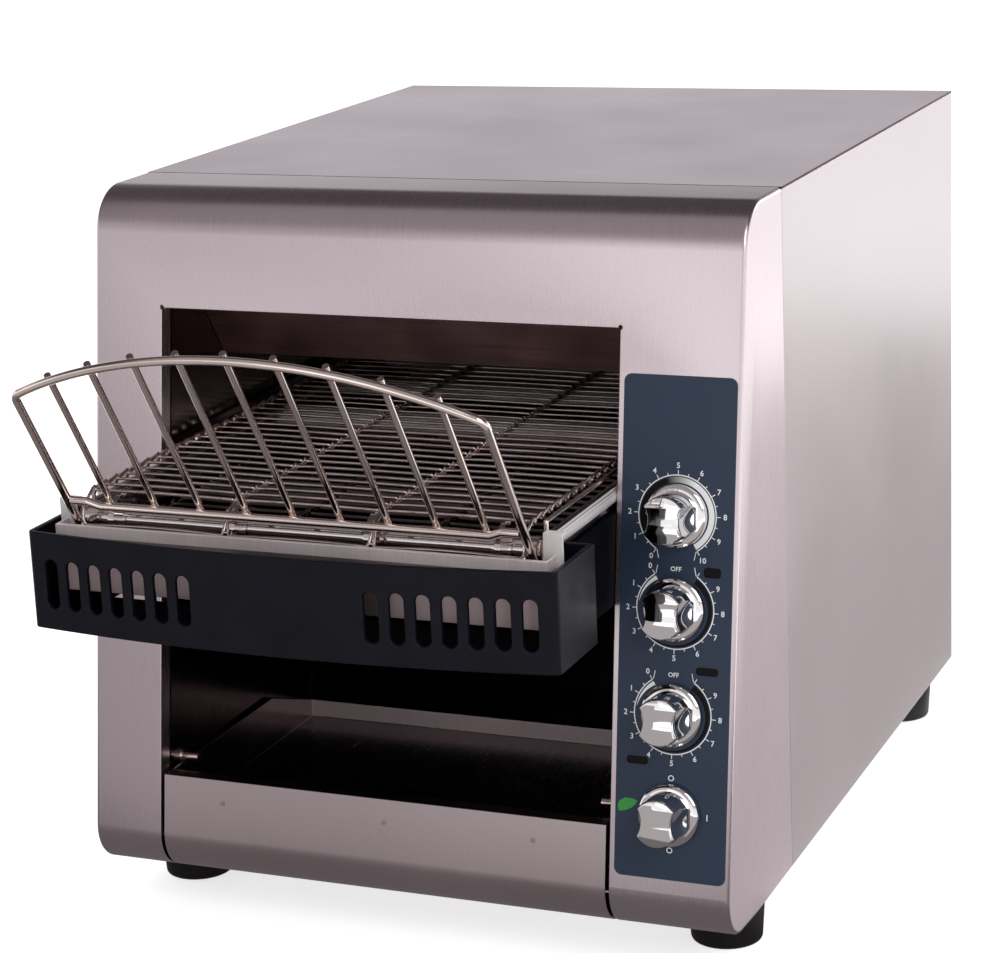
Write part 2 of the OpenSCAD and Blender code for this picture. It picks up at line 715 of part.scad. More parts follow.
module front_shaft() home() color(bright)
  cross_bar(lane_x - plate_out - 1.5, lane_x + plate_out + 1.5, front_y, shaft_z, shaft_r);
module front_sprockets() home() color(bright) sprockets(front_y);
module front_spacer_tubes() home() color(bright) spacer_tubes(front_y);
module rear_shaft() home() color(bright)
  cross_bar(lane_x - plate_out - 1.5, chain_x + chain_w / 2 + 2, rear_y, shaft_z, shaft_r);
module rear_sprockets() home() color(bright) sprockets(rear_y);
module rear_spacer_tubes() home() color(bright) spacer_tubes(rear_y);

// Point on the belt's closed path at arc length s from above the front shaft
function belt_point(s) =
  let (arc = PI * wrap_r, a = s / wrap_r * 180 / PI, l = shaft_span)
  s < l ? [front_y + s, shaft_z + wrap_r]
  : s < l + arc ? let (t = 90 - (s - l) / wrap_r * 180 / PI) [rear_y + wrap_r * cos(t), shaft_z + wrap_r * sin(t)]
  : s < 2 * l + arc ? [rear_y - (s - l - arc), shaft_z - wrap_r]
  : let (t = -90 - (s - 2 * l - arc) / wrap_r * 180 / PI) [front_y + wrap_r * cos(t), shaft_z + wrap_r * sin(t)];

module wire_belt() home() color([0.45, 0.42, 0.41]) {
  link_w = 2.2;
  edge = belt_w / 2 - link_w / 2 - 0.3;
  for (i = [0:belt_rows - 1]) {
    p = belt_point(i * belt_pitch);
    q = belt_point(((i + 1) % belt_rows) * belt_pitch);
    d = q - p;
    cross_bar(lane_x - belt_w / 2, lane_x + belt_w / 2, p[0], p[1], belt_wire_r, $fn = 24);
    for (x = [-edge, -belt_link_x, belt_link_x, edge]) translate([lane_x + x, p[0], p[1]])
      rotate([atan2(d[1], d[0]), 0, 0]) translate([-link_w / 2, 0, -belt_wire_r * 0.6])
        cube([link_w, norm(d), belt_wire_r * 1.2]);
  }
}

// Bright wires that keep the toast off the belt's edges
module belt_edge_guides() home() color(bright)
  for (s = [-1, 1]) {
    x = lane_x + s * (plate_in - 2);
    r = 1.2;
    foot = bead_z + bead_r + 0.02;
    top = belt_top - 1.4;
    for (y = [plate_nose + 12, rear_y]) {
      translate([x, y, foot]) cylinder(h = top - foot, r = r);
      translate([x, y, top]) sphere(r = r);
    }
    translate([x, plate_nose + 12, top]) rotate([-90, 0, 0]) cylinder(h = rear_y - plate_nose - 12, r = r);
  }

// ---- Loading end ----

// Plan view of the guard with its bowed front and round corners, inset from its outer face
module bow_band(inset) {
  corner = guard_corner - inset;
  cx = guard_half - guard_corner;
  bow_y = -guard_front - guard_bow + bow_r;
  cy = bow_y - sqrt(pow(bow_r - guard_corner, 2) - cx * cx);
  difference() {
    intersection() {
      translate([0, bow_y]) circle(r = bow_r - inset, $fn = 360);
      translate([-guard_half + inset, -guard_front - guard_bow - 1]) square([2 * (guard_half - inset), guard_side + guard_bow + 1]);
    }
    for (s = [-1, 1]) polygon([[s * cx, cy], [s * cx * (1 + 60 / bow_r), cy - 60], [s * (cx + 60), cy - 60], [s * (cx + 60), cy]]);
  }
  for (s = [-1, 1]) translate([s * cx, cy]) circle(r = corner + blend);
}

module slotted_guard() home() color(black) translate([lane_x, 0, guard_low]) {
  arm_front = guard_back - guard_t;
  arm_back = face_y(guard_low) + opening_turn + 14;
  difference() {
    linear_extrude(guard_h) {
      difference() {
        bow_band(0);
        translate([0, 0]) bow_band(guard_t);
        translate([-guard_half + guard_t, guard_back - 30]) square([2 * (guard_half - guard_t), 60]);
      }
    }
    for (s = [-1, 1], i = [0:slot_n - 1]) translate([s * (slot_first + i * slot_pitch), 0, guard_h * 0.475]) guard_slot();
  }
  linear_extrude(guard_t) intersection() {
    bow_band(guard_t - 0.1);
    translate([-guard_half, guard_back - guard_t - 60]) square([2 * guard_half, 60.1]);
  }
  for (s = [-1, 1]) {
    translate([s > 0 ? arm_in : -guard_half, arm_front, 0]) cube([guard_half - arm_in, guard_t, guard_h]);
    translate([s > 0 ? arm_in : -arm_out + 0.1, arm_front, 0]) cube([arm_out - 0.1 - arm_in, arm_back - arm_front, guard_h - 3.5]);
  }
}

module guard_slot() {
  translate([0, -guard_front + 12, 0]) rotate([90, 0, 0]) {
    translate([-slot_w / 2, -slot_len / 2 + slot_w / 2, 0]) cube([slot_w, slot_len - slot_w, 40]);
    for (z = [-1, 1]) translate([0, z * (slot_len - slot_w) / 2, 0]) cylinder(h = 40, r = slot_w / 2);
  }
}

module feed_plate() home() color(bright) translate([lane_x, feed_y, 0]) {
  translate([-feed_half, -1.2, feed_top - feed_h]) cube([2 * feed_half, 1.2, feed_h]);
  translate([-feed_half, -1.2, feed_top - 1.2]) cube([2 * feed_half, 2.4, 1.2]);
  reach = plate_nose - feed_y - 0.1;
  for (s = [-1, 1]) translate([s > 0 ? feed_half - 1.2 : -feed_half, -1.2, feed_top - feed_h]) cube([1.2, reach + 1.2, feed_h]);
}

// Moves to the rack's own plane: X across, Z up the legs, Y backwards
module on_rack() { translate([lane_x, rack_y, rack_z]) rotate([rack_lean, 0, 0]) children(); }

function arch_z(x) = rack_leg + sqrt(arch_r * arch_r - x * x) - (arch_r - rack_arch);

module rack_hoop() home() color(bright) on_rack() {
  zc = rack_leg + rack_arch - arch_r;
  cx = rack_half - hoop_bend_r;
  a = acos(cx / (arch_r - hoop_bend_r));
  bend_z = zc + (arch_r - hoop_bend_r) * sin(a);
  joint_r = hoop_r + 0.03;
  e = 1;
  for (s = [-1, 1]) {
    translate([s * rack_half, 0, -leg_down]) cylinder(h = bend_z + leg_down - 0.1, r = hoop_r);
    translate([s * rack_half, 0, -leg_down]) sphere(r = hoop_r);
    translate([s * rack_half, 0, bend_z]) sphere(r = joint_r);
    translate([s * (cx + hoop_bend_r * cos(a)), 0, bend_z + hoop_bend_r * sin(a)]) sphere(r = joint_r);
    translate([s * cx, 0, bend_z]) rotate([90, 0, 0]) rotate([0, 0, s > 0 ? e : 180 - a + e])
      rotate_extrude(angle = a - 2 * e) translate([hoop_bend_r, 0]) circle(r = hoop_r);
  }
  translate([0, 0, zc]) rotate([90, 0, 0]) rotate([0, 0, a + 0.03])
    rotate_extrude(angle = 180 - 2 * a - 0.06, $fn = 180) translate([arch_r, 0]) circle(r = hoop_r);
}

module rack_cross_rod() home() color(bright) on_rack() {
  x1 = rack_half - 18;
  x2 = rack_half - 11;
  d = [x2 - x1, rod_joggle];
  translate([-x1, 0, rod_up]) rotate([0, 90, 0]) cylinder(h = 2 * x1, r = hoop_r);
  for (s = [-1, 1]) {
    translate([s * x1, 0, rod_up]) sphere(r = hoop_r);
    translate([s * x2, 0, rod_up + rod_joggle]) sphere(r = hoop_r);
    translate([s * x1, 0, rod_up]) rotate([0, s * atan2(d[0], d[1]), 0]) cylinder(h = norm(d), r = hoop_r);
    translate([s * x2, 0, rod_up + rod_joggle]) rotate([0, s * 90, 0]) cylinder(h = rack_half - x2 - hoop_r - 0.02, r = hoop_r);
  }
}

module rack_wires() home() color(bright) on_rack()
  for (i = [0:rack_wires_n - 1]) {
    x = (i - (rack_wires_n - 1) / 2) * wire_gap;
    translate([x, wire_back, rod_up - 1]) cylinder(h = arch_z(x) + 2.3 - rod_up, r = rack_wire_r);
  }

// Grooved blocks on the side plates that hold the rack's legs
module rack_sockets() home() color(bright) on_rack()
  for (s = [-1, 1]) difference() {
    translate([s > 0 ? rack_half - 1.4 : -plate_in, -4.4, -leg_down - 7]) cube([plate_in - rack_half + 1.4, 8.8, 12]);
    translate([s * rack_half, 0, -leg_down - 0.1]) cylinder(h = rack_leg, r = hoop_r + 0.1);
    translate([s * rack_half, 0, -leg_down - 0.1]) sphere(r = hoop_r + 0.1);
  }

// ---- Drive ----

module chain_wheel(x, y, z, pitch_r, teeth, bore) {
  tip = pitch_r - 1.9;
  difference() {
    union() {
      cross_bar(x - 1.2, x + 1.2, y, z, tip);
      cross_bar(x - chain_w / 2, x + chain_w / 2, y, z, pitch_r - chain_half_h - 1.5);
    }
    for (i = [0:teeth - 1]) translate([x, y, z]) rotate([i * 360 / teeth, 0, 0]) translate([-2, 0, tip + 0.2])
      rotate([0, 90, 0]) cylinder(h = 4, r = 1.1, $fn = 16);
    if (bore > 0) cross_bar(x - chain_w, x + chain_w, y, z, bore + 0.01);
  }
}

motor_shaft_r = 3;
module drive_sprocket() home() color(dark_steel) chain_wheel(chain_x, rear_y, shaft_z, drive_pitch_r, drive_teeth, shaft_r);
module motor_sprocket() home() color(dark_steel) {
  chain_wheel(chain_x, motor_y, motor_z, motor_pitch_r, motor_teeth, 0);
  cross_bar(chain_x - chain_w / 2 - 0.4, chain_x + chain_w / 2 + 9, motor_y, motor_z, motor_shaft_r);
}

// Closed loop of the chain round both wheels, grown by g
module chain_loop(g) {
  a = [rear_y, shaft_z];
  b = [motor_y, motor_z];
  d = b - a;
  l = norm(d);
  phi = asin((drive_pitch_r - motor_pitch_r) / l);
  dir = atan2(d[1], d[0]);
  ra = drive_pitch_r + g;
  rb = motor_pitch_r + g;
  translate(a) circle(r = ra + blend);
  translate(b) circle(r = rb + blend);
  u = [for (s = [-1, 1]) [cos(dir + s * (90 - phi)), sin(dir + s * (90 - phi))]];
  polygon([a + ra * u[0], b + rb * u[0], b + rb * u[1], a + ra * u[1]]);
}

module drive_chain() home() color(dark_steel) {
  for (s = [-1, 1]) {
    x = chain_x + s * chain_w / 2 - 0.6;
    across(x, x + 1.2) difference() {
      chain_loop(chain_half_h);
      chain_loop(-chain_half_h);
    }
  }
  across(chain_x - chain_w / 2, chain_x + chain_w / 2) difference() {
    chain_loop(1.6);
    chain_loop(-1.6);
  }
}

bracket_t = 1.6;
module motor_bracket() home() color(steel) {
  half = gearbox_l / 2 + 6;
  difference() {
    translate([motor_x - bracket_t, motor_y - half, pan_t]) cube([bracket_t, 2 * half, motor_z + gearbox_h / 2 + 8 - pan_t]);
    cross_bar(motor_x - 3, motor_x + 1, motor_y, motor_z, 8);
  }
  translate([motor_x - bracket_t, motor_y - half, pan_t]) cube([motor_room * 0.67, half + 10, bracket_t]);
}

module gear_motor() home() color([0.30, 0.31, 0.33]) {
  difference() {
    union() {
      translate([motor_x, motor_y - gearbox_l / 2, motor_z - gearbox_h / 2]) cube([motor_room * 0.58, gearbox_l, gearbox_h]);
      cross_bar(motor_x - 1.8, motor_x + 2, motor_y, motor_z, 7.6);
    }
    cross_bar(motor_x - 4, motor_x + 12, motor_y, motor_z, motor_shaft_r + run_gap);
  }
  end = motor_y - gearbox_l / 2;
  translate([motor_x + motor_room * 0.4, end + 1, motor_z]) rotate([90, 0, 0]) cylinder(h = motor_l, r = motor_room * 0.38);
  translate([motor_x + motor_room * 0.09, end - motor_l * 0.8, motor_z - gearbox_h * 0.38])
    cube([motor_room * 0.62, motor_l * 0.55, gearbox_h * 0.76]);
}

fan_y = body_d - skin_t;
fan_depth = 20;
module cooling_fan_frame() home() color(black) translate([fan_x, fan_y, fan_z]) {
  difference() {
    translate([-fan_size / 2, -fan_depth, -fan_size / 2]) cube([fan_size, fan_depth, fan_size]);
    rotate([90, 0, 0]) translate([0, 0, -1]) cylinder(h = fan_depth + 2, r = fan_r + 1);
  }
  translate([0, -fan_depth + 4, 0]) rotate([90, 0, 0]) difference() {
    union() {
      cylinder(h = 4, r = 9);
      for (a = [0:90:270]) rotate([0, 0, a + 45]) translate([8, -1.5, 0]) cube([fan_r - 6, 3, 2.5]);
    }
  }
  translate([0, -fan_depth + 3, 0]) rotate([-90, 0, 0]) cylinder(h = 10.5, r = 1.95);
}

module cooling_fan_rotor() home() color(black) translate([fan_x, fan_y, fan_z]) rotate([90, 0, 0]) translate([0, 0, 3.4]) {
  difference() {
    cylinder(h = 12, r = 8.5);
    translate([0, 0, -1]) cylinder(h = 14, r = 2);
  }
  for (a = [0:51.43:359]) rotate([0, 0, a]) translate([7.5, 0, 6]) rotate([35, 0, 0]) translate([0, -0.8, -5])
    cube([fan_r - 8.5, 1.6, 10]);
}

block_y = motor_y - gearbox_l / 2 - 50;
module terminal_block() home() color("white") {
  x0 = lane_r + 12;
  block_w = side_room - 22;
  translate([x0, block_y, pan_t]) difference() {
    cube([block_w, 22, 18]);
    for (i = [0:3]) translate([block_w * (i + 0.6) / 4.2, 11, 12]) cylinder(h = 8, r = block_w * 0.07);
  }
}

module cord_bushing() home() color(black) translate([bush_x, body_d, bush_z]) rotate([-90, 0, 0]) difference() {
  union() {
    cylinder(h = bush_out, r1 = 12, r2 = 10);
    translate([0, 0, -skin_t - 0.02]) cylinder(h = skin_t + 1, r = 8.1);
    translate([0, 0, -skin_t - 5]) cylinder(h = 5, r = 11);
  }
  translate([0, 0, -20]) cylinder(h = 40, r = 5);
}

// ---- Controls ----

sw_w = panel_w - 27;
sw_h = 36;
sw_d = 34;
module control_switches() home() color([0.20, 0.18, 0.16])
  for (z = knob_zs) on_face(knob_x, z) difference() {
    union() {
      translate([-sw_w / 2, -sw_h / 2, -skin_t - sw_d - 0.02]) cube([sw_w, sw_h, sw_d]);
      translate([0, 0, -skin_t - 1]) cylinder(h = skin_t + plate_t + 1.6, r = stem_r);
    }
    translate([0, 0, -skin_t - 14]) cylinder(h = 40, r = spindle_r + run_gap);
  }

module spindle(z) on_face(knob_x, z) translate([0, 0, -skin_t - 12]) cylinder(h = skin_t + 12 + spindle_up, r = spindle_r);

// A knob: a round skirt and a waisted grip
module knob(z) {
  waist_r = 21;
  base = plate_t + skirt_gap;
  on_face(knob_x, z) difference() {
    union() {
      translate([0, 0, base]) cylinder(h = 3, r = skirt_r);
      translate([0, 0, base + 3]) cylinder(h = 1.4, r1 = skirt_r, r2 = skirt_r - 1.6);
      translate([0, 0, base + 4.4]) cylinder(h = knob_h - 6.4, r = grip_r);
      translate([0, 0, base + knob_h - 2]) cylinder(h = 2, r1 = grip_r, r2 = grip_r - 2.2);
    }
    for (s = [-1, 1]) translate([s * (waist_w / 2 + waist_r), 0, base + 7]) cylinder(h = knob_h, r = waist_r);
    for (s = [-1, 1]) translate([s * (waist_w / 2 + waist_r), 0, base + 4.4]) cylinder(h = 2.6, r1 = waist_r - 4, r2 = waist_r);
    translate([0, 0, base - 1]) cylinder(h = 3, r = 9.5);
    translate([0, 0, base - 1]) cylinder(h = spindle_up - base + 1.1, r = spindle_r + 0.01);
  }
}

module speed_knob() home() color(bright) knob(knob_z1);
module top_heat_knob() home() color(bright) knob(knob_z2);
module bottom_heat_knob() home() color(bright) knob(knob_z3);
module power_knob() home() color(bright) knob(knob_z4);
module speed_spindle() home() color(steel) spindle(knob_z1);
module top_heat_spindle() home() color(steel) spindle(knob_z2);
module bottom_heat_spindle() home() color(steel) spindle(knob_z3);
module power_spindle() home() color(steel) spindle(knob_z4);

module panel_screws() home() color(bright)
  for (p = back_screws()) translate([p[0], body_d - skin_t - 5, p[1]]) rotate([-90, 0, 0]) {
    cylinder(h = skin_t + 5, r = 2);
    translate([0, 0, skin_t + 5]) cylinder(h = 2, r1 = 4, r2 = 2.8);
  }

// Bound wires from the terminal block up to the controls
module wiring_loom() home() color([0.75, 0.72, 0.66]) {
  r = 3.5;
  x = side_mid;
  z0 = 34;
  y1 = face_y(knob_z1) + 47;
  y2 = block_y + 11;
  translate([x, y2, pan_t + 18.1]) cylinder(h = z0 - pan_t - 18.1, r = r);
  translate([x, y2, z0]) sphere(r = r);
  translate([x, y1, z0]) rotate([-90, 0, 0]) cylinder(h = y2 - y1, r = r);
  translate([x, y1, z0]) sphere(r = r);
  translate([x, y1, z0]) cylinder(h = knob_z1 - z0, r = r);
  translate([x, y1, knob_z1]) sphere(r = r);
}

base_pan();
front_panel();
top_cover();
left_side_panel();
right_side_panel();
back_panel();
feet();
foot_bolts();
control_plate();
left_lane_wall();
right_lane_wall();
lane_ceiling();
front_baffle();
rear_chute();
toast_slide();
crumb_tray();
tray_runners();
tray_pins();
upper_heater_tubes();
lower_heater_tubes();
heater_coils();
heater_end_caps();
left_side_plate();
right_side_plate();
conveyor_spacers();
shaft_bushings();
front_shaft();
front_sprockets();
front_spacer_tubes();
rear_shaft();
rear_sprockets();
rear_spacer_tubes();
wire_belt();
belt_edge_guides();
slotted_guard();
feed_plate();
rack_hoop();
rack_cross_rod();
rack_wires();
rack_sockets();
drive_sprocket();
drive_chain();
motor_sprocket();
gear_motor();
motor_bracket();
cooling_fan_frame();
cooling_fan_rotor();
terminal_block();
cord_bushing();
control_switches();
speed_knob();
top_heat_knob();
bottom_heat_knob();
power_knob();
speed_spindle();
top_heat_spindle();
bottom_heat_spindle();
power_spindle();
panel_screws();
wiring_loom();
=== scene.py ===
import json
import math

import bmesh
import bpy
from mathutils import Matrix, Vector


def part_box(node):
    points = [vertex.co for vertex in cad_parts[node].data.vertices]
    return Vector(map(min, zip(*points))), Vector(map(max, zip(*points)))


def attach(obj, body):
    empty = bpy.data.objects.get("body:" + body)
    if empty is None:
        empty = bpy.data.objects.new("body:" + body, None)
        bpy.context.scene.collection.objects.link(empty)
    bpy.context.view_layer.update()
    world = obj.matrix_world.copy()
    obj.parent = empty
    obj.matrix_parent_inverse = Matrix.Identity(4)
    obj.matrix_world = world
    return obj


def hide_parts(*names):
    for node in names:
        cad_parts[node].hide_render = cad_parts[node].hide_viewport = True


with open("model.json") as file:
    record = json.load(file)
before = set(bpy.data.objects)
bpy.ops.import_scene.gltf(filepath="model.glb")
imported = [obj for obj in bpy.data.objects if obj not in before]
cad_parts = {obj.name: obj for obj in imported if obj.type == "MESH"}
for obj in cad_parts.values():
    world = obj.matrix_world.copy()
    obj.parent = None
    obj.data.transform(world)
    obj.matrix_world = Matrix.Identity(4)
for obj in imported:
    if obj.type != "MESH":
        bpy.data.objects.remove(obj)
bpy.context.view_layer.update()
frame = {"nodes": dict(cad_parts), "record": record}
print("frame loaded:", len(frame["nodes"]), "nodes")

seamGap = 0.0003  # between the front panel and the top cover

# The casing's own frame: y is zero at the seam behind the front panel, z at the body's underside
casing = {
    "seamY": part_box("top_cover")[0][1] - seamGap,
    "footHeight": 0.026,
    "halfWidth": 0.184,
    "faceFoot": 0.114,
    "faceLean": math.radians(8.7),
    "laneX": -0.012,
}


def place(x, y, z):
    return Vector((x, y + casing["seamY"], z + casing["footHeight"]))


cameraSetup = {
    "target": (-0.042, 0.150, 0.1651),
    "distance": 1.7057,
    "yaw": 23.004,
    "pitch": 15.080,
    "roll": -2.495,
    "lens": 101.466,
    "sensor": 36.0,
    "clip": (0.05, 50.0),
}


def makeCamera(setup):
    yaw, pitch, roll = (math.radians(setup[k]) for k in ("yaw", "pitch", "roll"))
    ahead = Vector((-math.sin(yaw) * math.cos(pitch), math.cos(yaw) * math.cos(pitch), -math.sin(pitch)))
    right = ahead.cross(Vector((0, 0, 1))).normalized()
    up = right.cross(ahead)
    turnedRight = right * math.cos(roll) + up * math.sin(roll)
    turnedUp = up * math.cos(roll) - right * math.sin(roll)
    data = bpy.data.cameras.new("camera")
    data.lens = setup["lens"]
    data.sensor_width = setup["sensor"]
    data.clip_start, data.clip_end = setup["clip"]
    camera = bpy.data.objects.new("camera", data)
    stand = place(*setup["target"]) - ahead * setup["distance"]
    turn = Matrix((turnedRight, turnedUp, -ahead)).transposed()
    camera.matrix_world = Matrix.Translation(stand) @ turn.to_4x4()
    bpy.context.scene.collection.objects.link(camera)
    bpy.context.scene.camera = camera


makeCamera(cameraSetup)
scene = bpy.context.scene
scene.view_settings.view_transform = "Standard"

lamps = {
    "keyRight": {"at": (1.6, -1.3, 1.5), "size": (1.3, 1.3), "power": 15.0},
    "frontSoft": {"at": (-0.30, -2.6, 0.85), "size": (0.8, 0.9), "power": 1.0},
    "topSoft": {"at": (-0.2, 0.9, 2.2), "size": (1.2, 0.8), "power": 7.0, "shine": False},
    "sideGlow": {"at": (1.35, 2.1, 0.75), "size": (0.9, 0.7), "power": 5.0},
}
lampAim = Vector((0, 0, 0.2))


def makeLamp(name, spec):
    data = bpy.data.lights.new(name, "AREA")
    data.shape = "RECTANGLE"
    data.size, data.size_y = spec["size"]
    data.energy = spec["power"]
    lamp = bpy.data.objects.new(name, data)
    lamp.location = spec["at"]
    lamp.rotation_euler = (lampAim - Vector(spec["at"])).to_track_quat("-Z", "Y").to_euler()
    lamp.visible_glossy = spec.get("shine", True)
    scene.collection.objects.link(lamp)


for lampName, lampSpec in lamps.items():
    makeLamp(lampName, lampSpec)


def link(tree, fromNode, fromSocket, toNode, toSocket):
    tree.links.new(fromNode.outputs[fromSocket], toNode.inputs[toSocket])


studio = {
    "ambient": (0.66, 0.645, 0.65),
    # what camera, glossy and transmission rays see, by the sine of their height above the horizon
    "sky": [(0.02, (1, 1, 1)), (0.24, (0.93, 0.90, 0.91)), (0.33, (0.37, 0.335, 0.35)),
            (0.42, (0.08, 0.065, 0.07)), (1.0, (0.06, 0.05, 0.055))],
    "floorHalf": 12.0,
    "floorDrop": 0.0002,
    "floorColour": (0.88, 0.88, 0.88),
    "floorRough": 0.9,
    "floorLift": 0.68,
}


def seenRays(tree):
    # 1 for the rays that see the backdrop: camera, glossy and transmission
    path = tree.nodes.new("ShaderNodeLightPath")
    first = tree.nodes.new("ShaderNodeMath")
    first.operation = "MAXIMUM"
    link(tree, path, "Is Camera Ray", first, 0)
    link(tree, path, "Is Glossy Ray", first, 1)
    both = tree.nodes.new("ShaderNodeMath")
    both.operation = "MAXIMUM"
    link(tree, first, 0, both, 0)
    link(tree, path, "Is Transmission Ray", both, 1)
    return both.outputs[0]


def makeWorld(spec):
    world = bpy.data.worlds.new("studio")
    scene.world = world
    world.use_nodes = True
    tree = world.node_tree
    tree.nodes.clear()
    out = tree.nodes.new("ShaderNodeOutputWorld")
    backdrop = tree.nodes.new("ShaderNodeBackground")
    ambient = tree.nodes.new("ShaderNodeBackground")
    ambient.inputs["Color"].default_value = (*spec["ambient"], 1)
    mix = tree.nodes.new("ShaderNodeMixShader")
    coord = tree.nodes.new("ShaderNodeTexCoord")
    split = tree.nodes.new("ShaderNodeSeparateXYZ")
    ramp = tree.nodes.new("ShaderNodeValToRGB")
    link(tree, coord, "Generated", split, "Vector")
    link(tree, split, "Z", ramp, "Fac")
    stops = ramp.color_ramp.elements
    while len(stops) < len(spec["sky"]):
        stops.new(0.5)
    for stop, (height, colour) in zip(stops, spec["sky"]):
        stop.position = height
        stop.color = (*colour, 1)
    link(tree, ramp, "Color", backdrop, "Color")
    tree.links.new(seenRays(tree), mix.inputs["Fac"])
    link(tree, ambient, "Background", mix, 1)
    link(tree, backdrop, "Background", mix, 2)
    link(tree, mix, "Shader", out, "Surface")


makeWorld(studio)


def makeFloor(spec):
    mesh = bpy.data.meshes.new("floor")
    half = spec["floorHalf"]
    corners = [(-half, -half, 0), (half, -half, 0), (half, half, 0), (-half, half, 0)]
    mesh.from_pydata(corners, [], [(0, 1, 2, 3)])
    floor = bpy.data.objects.new("floor", mesh)
    floor.location.z = -spec["floorDrop"]
    scene.collection.objects.link(floor)
    mat = bpy.data.materials.new("floorWhite")
    mat.use_nodes = True
    tree = mat.node_tree
    shader = tree.nodes["Principled BSDF"]
    shader.inputs["Base Color"].default_value = (*spec["floorColour"], 1)
    shader.inputs["Roughness"].default_value = spec["floorRough"]
    shader.inputs["Specular IOR Level"].default_value = 0.0
    shader.inputs["Emission Color"].default_value = (1, 1, 1, 1)
    lift = tree.nodes.new("ShaderNodeMath")
    lift.operation = "MULTIPLY"
    lift.inputs[1].default_value = spec["floorLift"]
    tree.links.new(seenRays(tree), lift.inputs[0])
    link(tree, lift, 0, shader, "Emission Strength")
    floor.data.materials.append(mat)


makeFloor(studio)


cards = {  # colour and corners of the studio cards that only polished surfaces see
    "nearCard": ((0.16, 0.145, 0.15), [
        (-2.6, -0.05, 0.001), (1.3, -0.05, 0.001), (1.3, -0.42, 0.001), (-2.6, -0.42, 0.001)]),
    "lowCard": ((0.42, 0.39, 0.395), [
        (-2.6, -0.42, 0.001), (1.3, -0.42, 0.001), (1.3, -1.5, 0.03), (-2.6, -1.5, 0.03)]),
    "leftCard": ((0.42, 0.39, 0.395), [
        (-2.6, -1.45, 0.0), (-0.46, -1.45, 0.0), (-0.46, -1.5, 0.24), (-2.6, -1.5, 0.70)]),
    "highCard": ((0.46, 0.43, 0.44), [
        (-4.0, -3.4, 0.95), (3.0, -3.4, 0.95), (3.0, -3.2, 2.2), (-4.0, -3.2, 2.2)]),
    "topCard": ((0.30, 0.275, 0.285), [
        (-4.0, -3.2, 2.2), (3.0, -3.2, 2.2), (3.0, -0.5, 5.4), (-4.0, -0.5, 5.4)]),
    "rightCard": ((0.60, 0.56, 0.57), [
        (0.195, -0.12, 0.002), (0.43, -0.12, 0.002), (0.85, 1.4, 0.002), (0.195, 1.4, 0.002)]),
}


def makeCard(name, colour, corners):
    mesh = bpy.data.meshes.new(name)
    mesh.from_pydata(corners, [], [(0, 1, 2, 3)])
    card = bpy.data.objects.new(name, mesh)
    scene.collection.objects.link(card)
    mat = bpy.data.materials.new(name)
    mat.use_nodes = True
    shader = mat.node_tree.nodes["Principled BSDF"]
    shader.inputs["Base Color"].default_value = (0, 0, 0, 1)
    shader.inputs["Specular IOR Level"].default_value = 0.0
    shader.inputs["Emission Color"].default_value = (*colour, 1)
    shader.inputs["Emission Strength"].default_value = 1.0
    mesh.materials.append(mat)
    card.visible_camera = card.visible_diffuse = card.visible_shadow = False
    card.visible_transmission = False


for cardName, (cardColour, cardCorners) in cards.items():
    makeCard(cardName, cardColour, cardCorners)
print("camera, lamps and floor ready")


grainRules = {
    "fineShare": 0.7,  # the rest of the brushing is cloud
    "cloudShare": 0.3,
    "brushedLight": 1.04,
    "speckledLight": 1.08,
    "bumpDepth": 0.0002,
    "noiseReach": (0.3, 0.7),  # the noise's usual lowest and highest
    "sideFrom": 0.7,  # a surface takes the side grain where its normal has more x than this
}


def newFinish(name, spec):
    mat = bpy.data.materials.new(name)
    mat.use_nodes = True
    shader = mat.node_tree.nodes["Principled BSDF"]
    shader.inputs["Base Color"].default_value = (*spec["colour"], 1)
    shader.inputs["Metallic"].default_value = spec.get("metal", 0.0)
    shader.inputs["Roughness"].default_value = spec.get("rough", 0.5)
    shader.inputs["Transmission Weight"].default_value = spec.get("clear", 0.0)
    shader.inputs["Specular IOR Level"].default_value = spec.get("shine", 0.5)
    return mat, mat.node_tree, shader


def addNoise(tree, vector, scale, detail=2.0, rough=0.55):
    noise = tree.nodes.new("ShaderNodeTexNoise")
    noise.inputs["Scale"].default_value = scale
    noise.inputs["Detail"].default_value = detail
    noise.inputs["Roughness"].default_value = rough
    tree.links.new(vector, noise.inputs["Vector"])
    return noise.outputs["Fac"]


def addMapping(tree, scale):
    coord = tree.nodes.new("ShaderNodeTexCoord")
    mapping = tree.nodes.new("ShaderNodeMapping")
    mapping.inputs["Scale"].default_value = scale
    link(tree, coord, "Object", mapping, "Vector")
    return mapping.outputs["Vector"]


def addRange(tree, value, low, high):
    remap = tree.nodes.new("ShaderNodeMapRange")
    remap.inputs["From Min"].default_value = grainRules["noiseReach"][0]
    remap.inputs["From Max"].default_value = grainRules["noiseReach"][1]
    remap.inputs["To Min"].default_value = low
    remap.inputs["To Max"].default_value = high
    tree.links.new(value, remap.inputs["Value"])
    return remap.outputs["Result"]


def tint(tree, value, dark, light):
    mix = tree.nodes.new("ShaderNodeMix")
    mix.data_type = "RGBA"
    mix.inputs[6].default_value = (*dark, 1)
    mix.inputs[7].default_value = (*light, 1)
    tree.links.new(value, mix.inputs[0])
    return mix.outputs[2]


def addBump(tree, shader, height, strength, distance):
    bump = tree.nodes.new("ShaderNodeBump")
    bump.inputs["Strength"].default_value = strength
    bump.inputs["Distance"].default_value = distance
    tree.links.new(height, bump.inputs["Height"])
    link(tree, bump, "Normal", shader, "Normal")


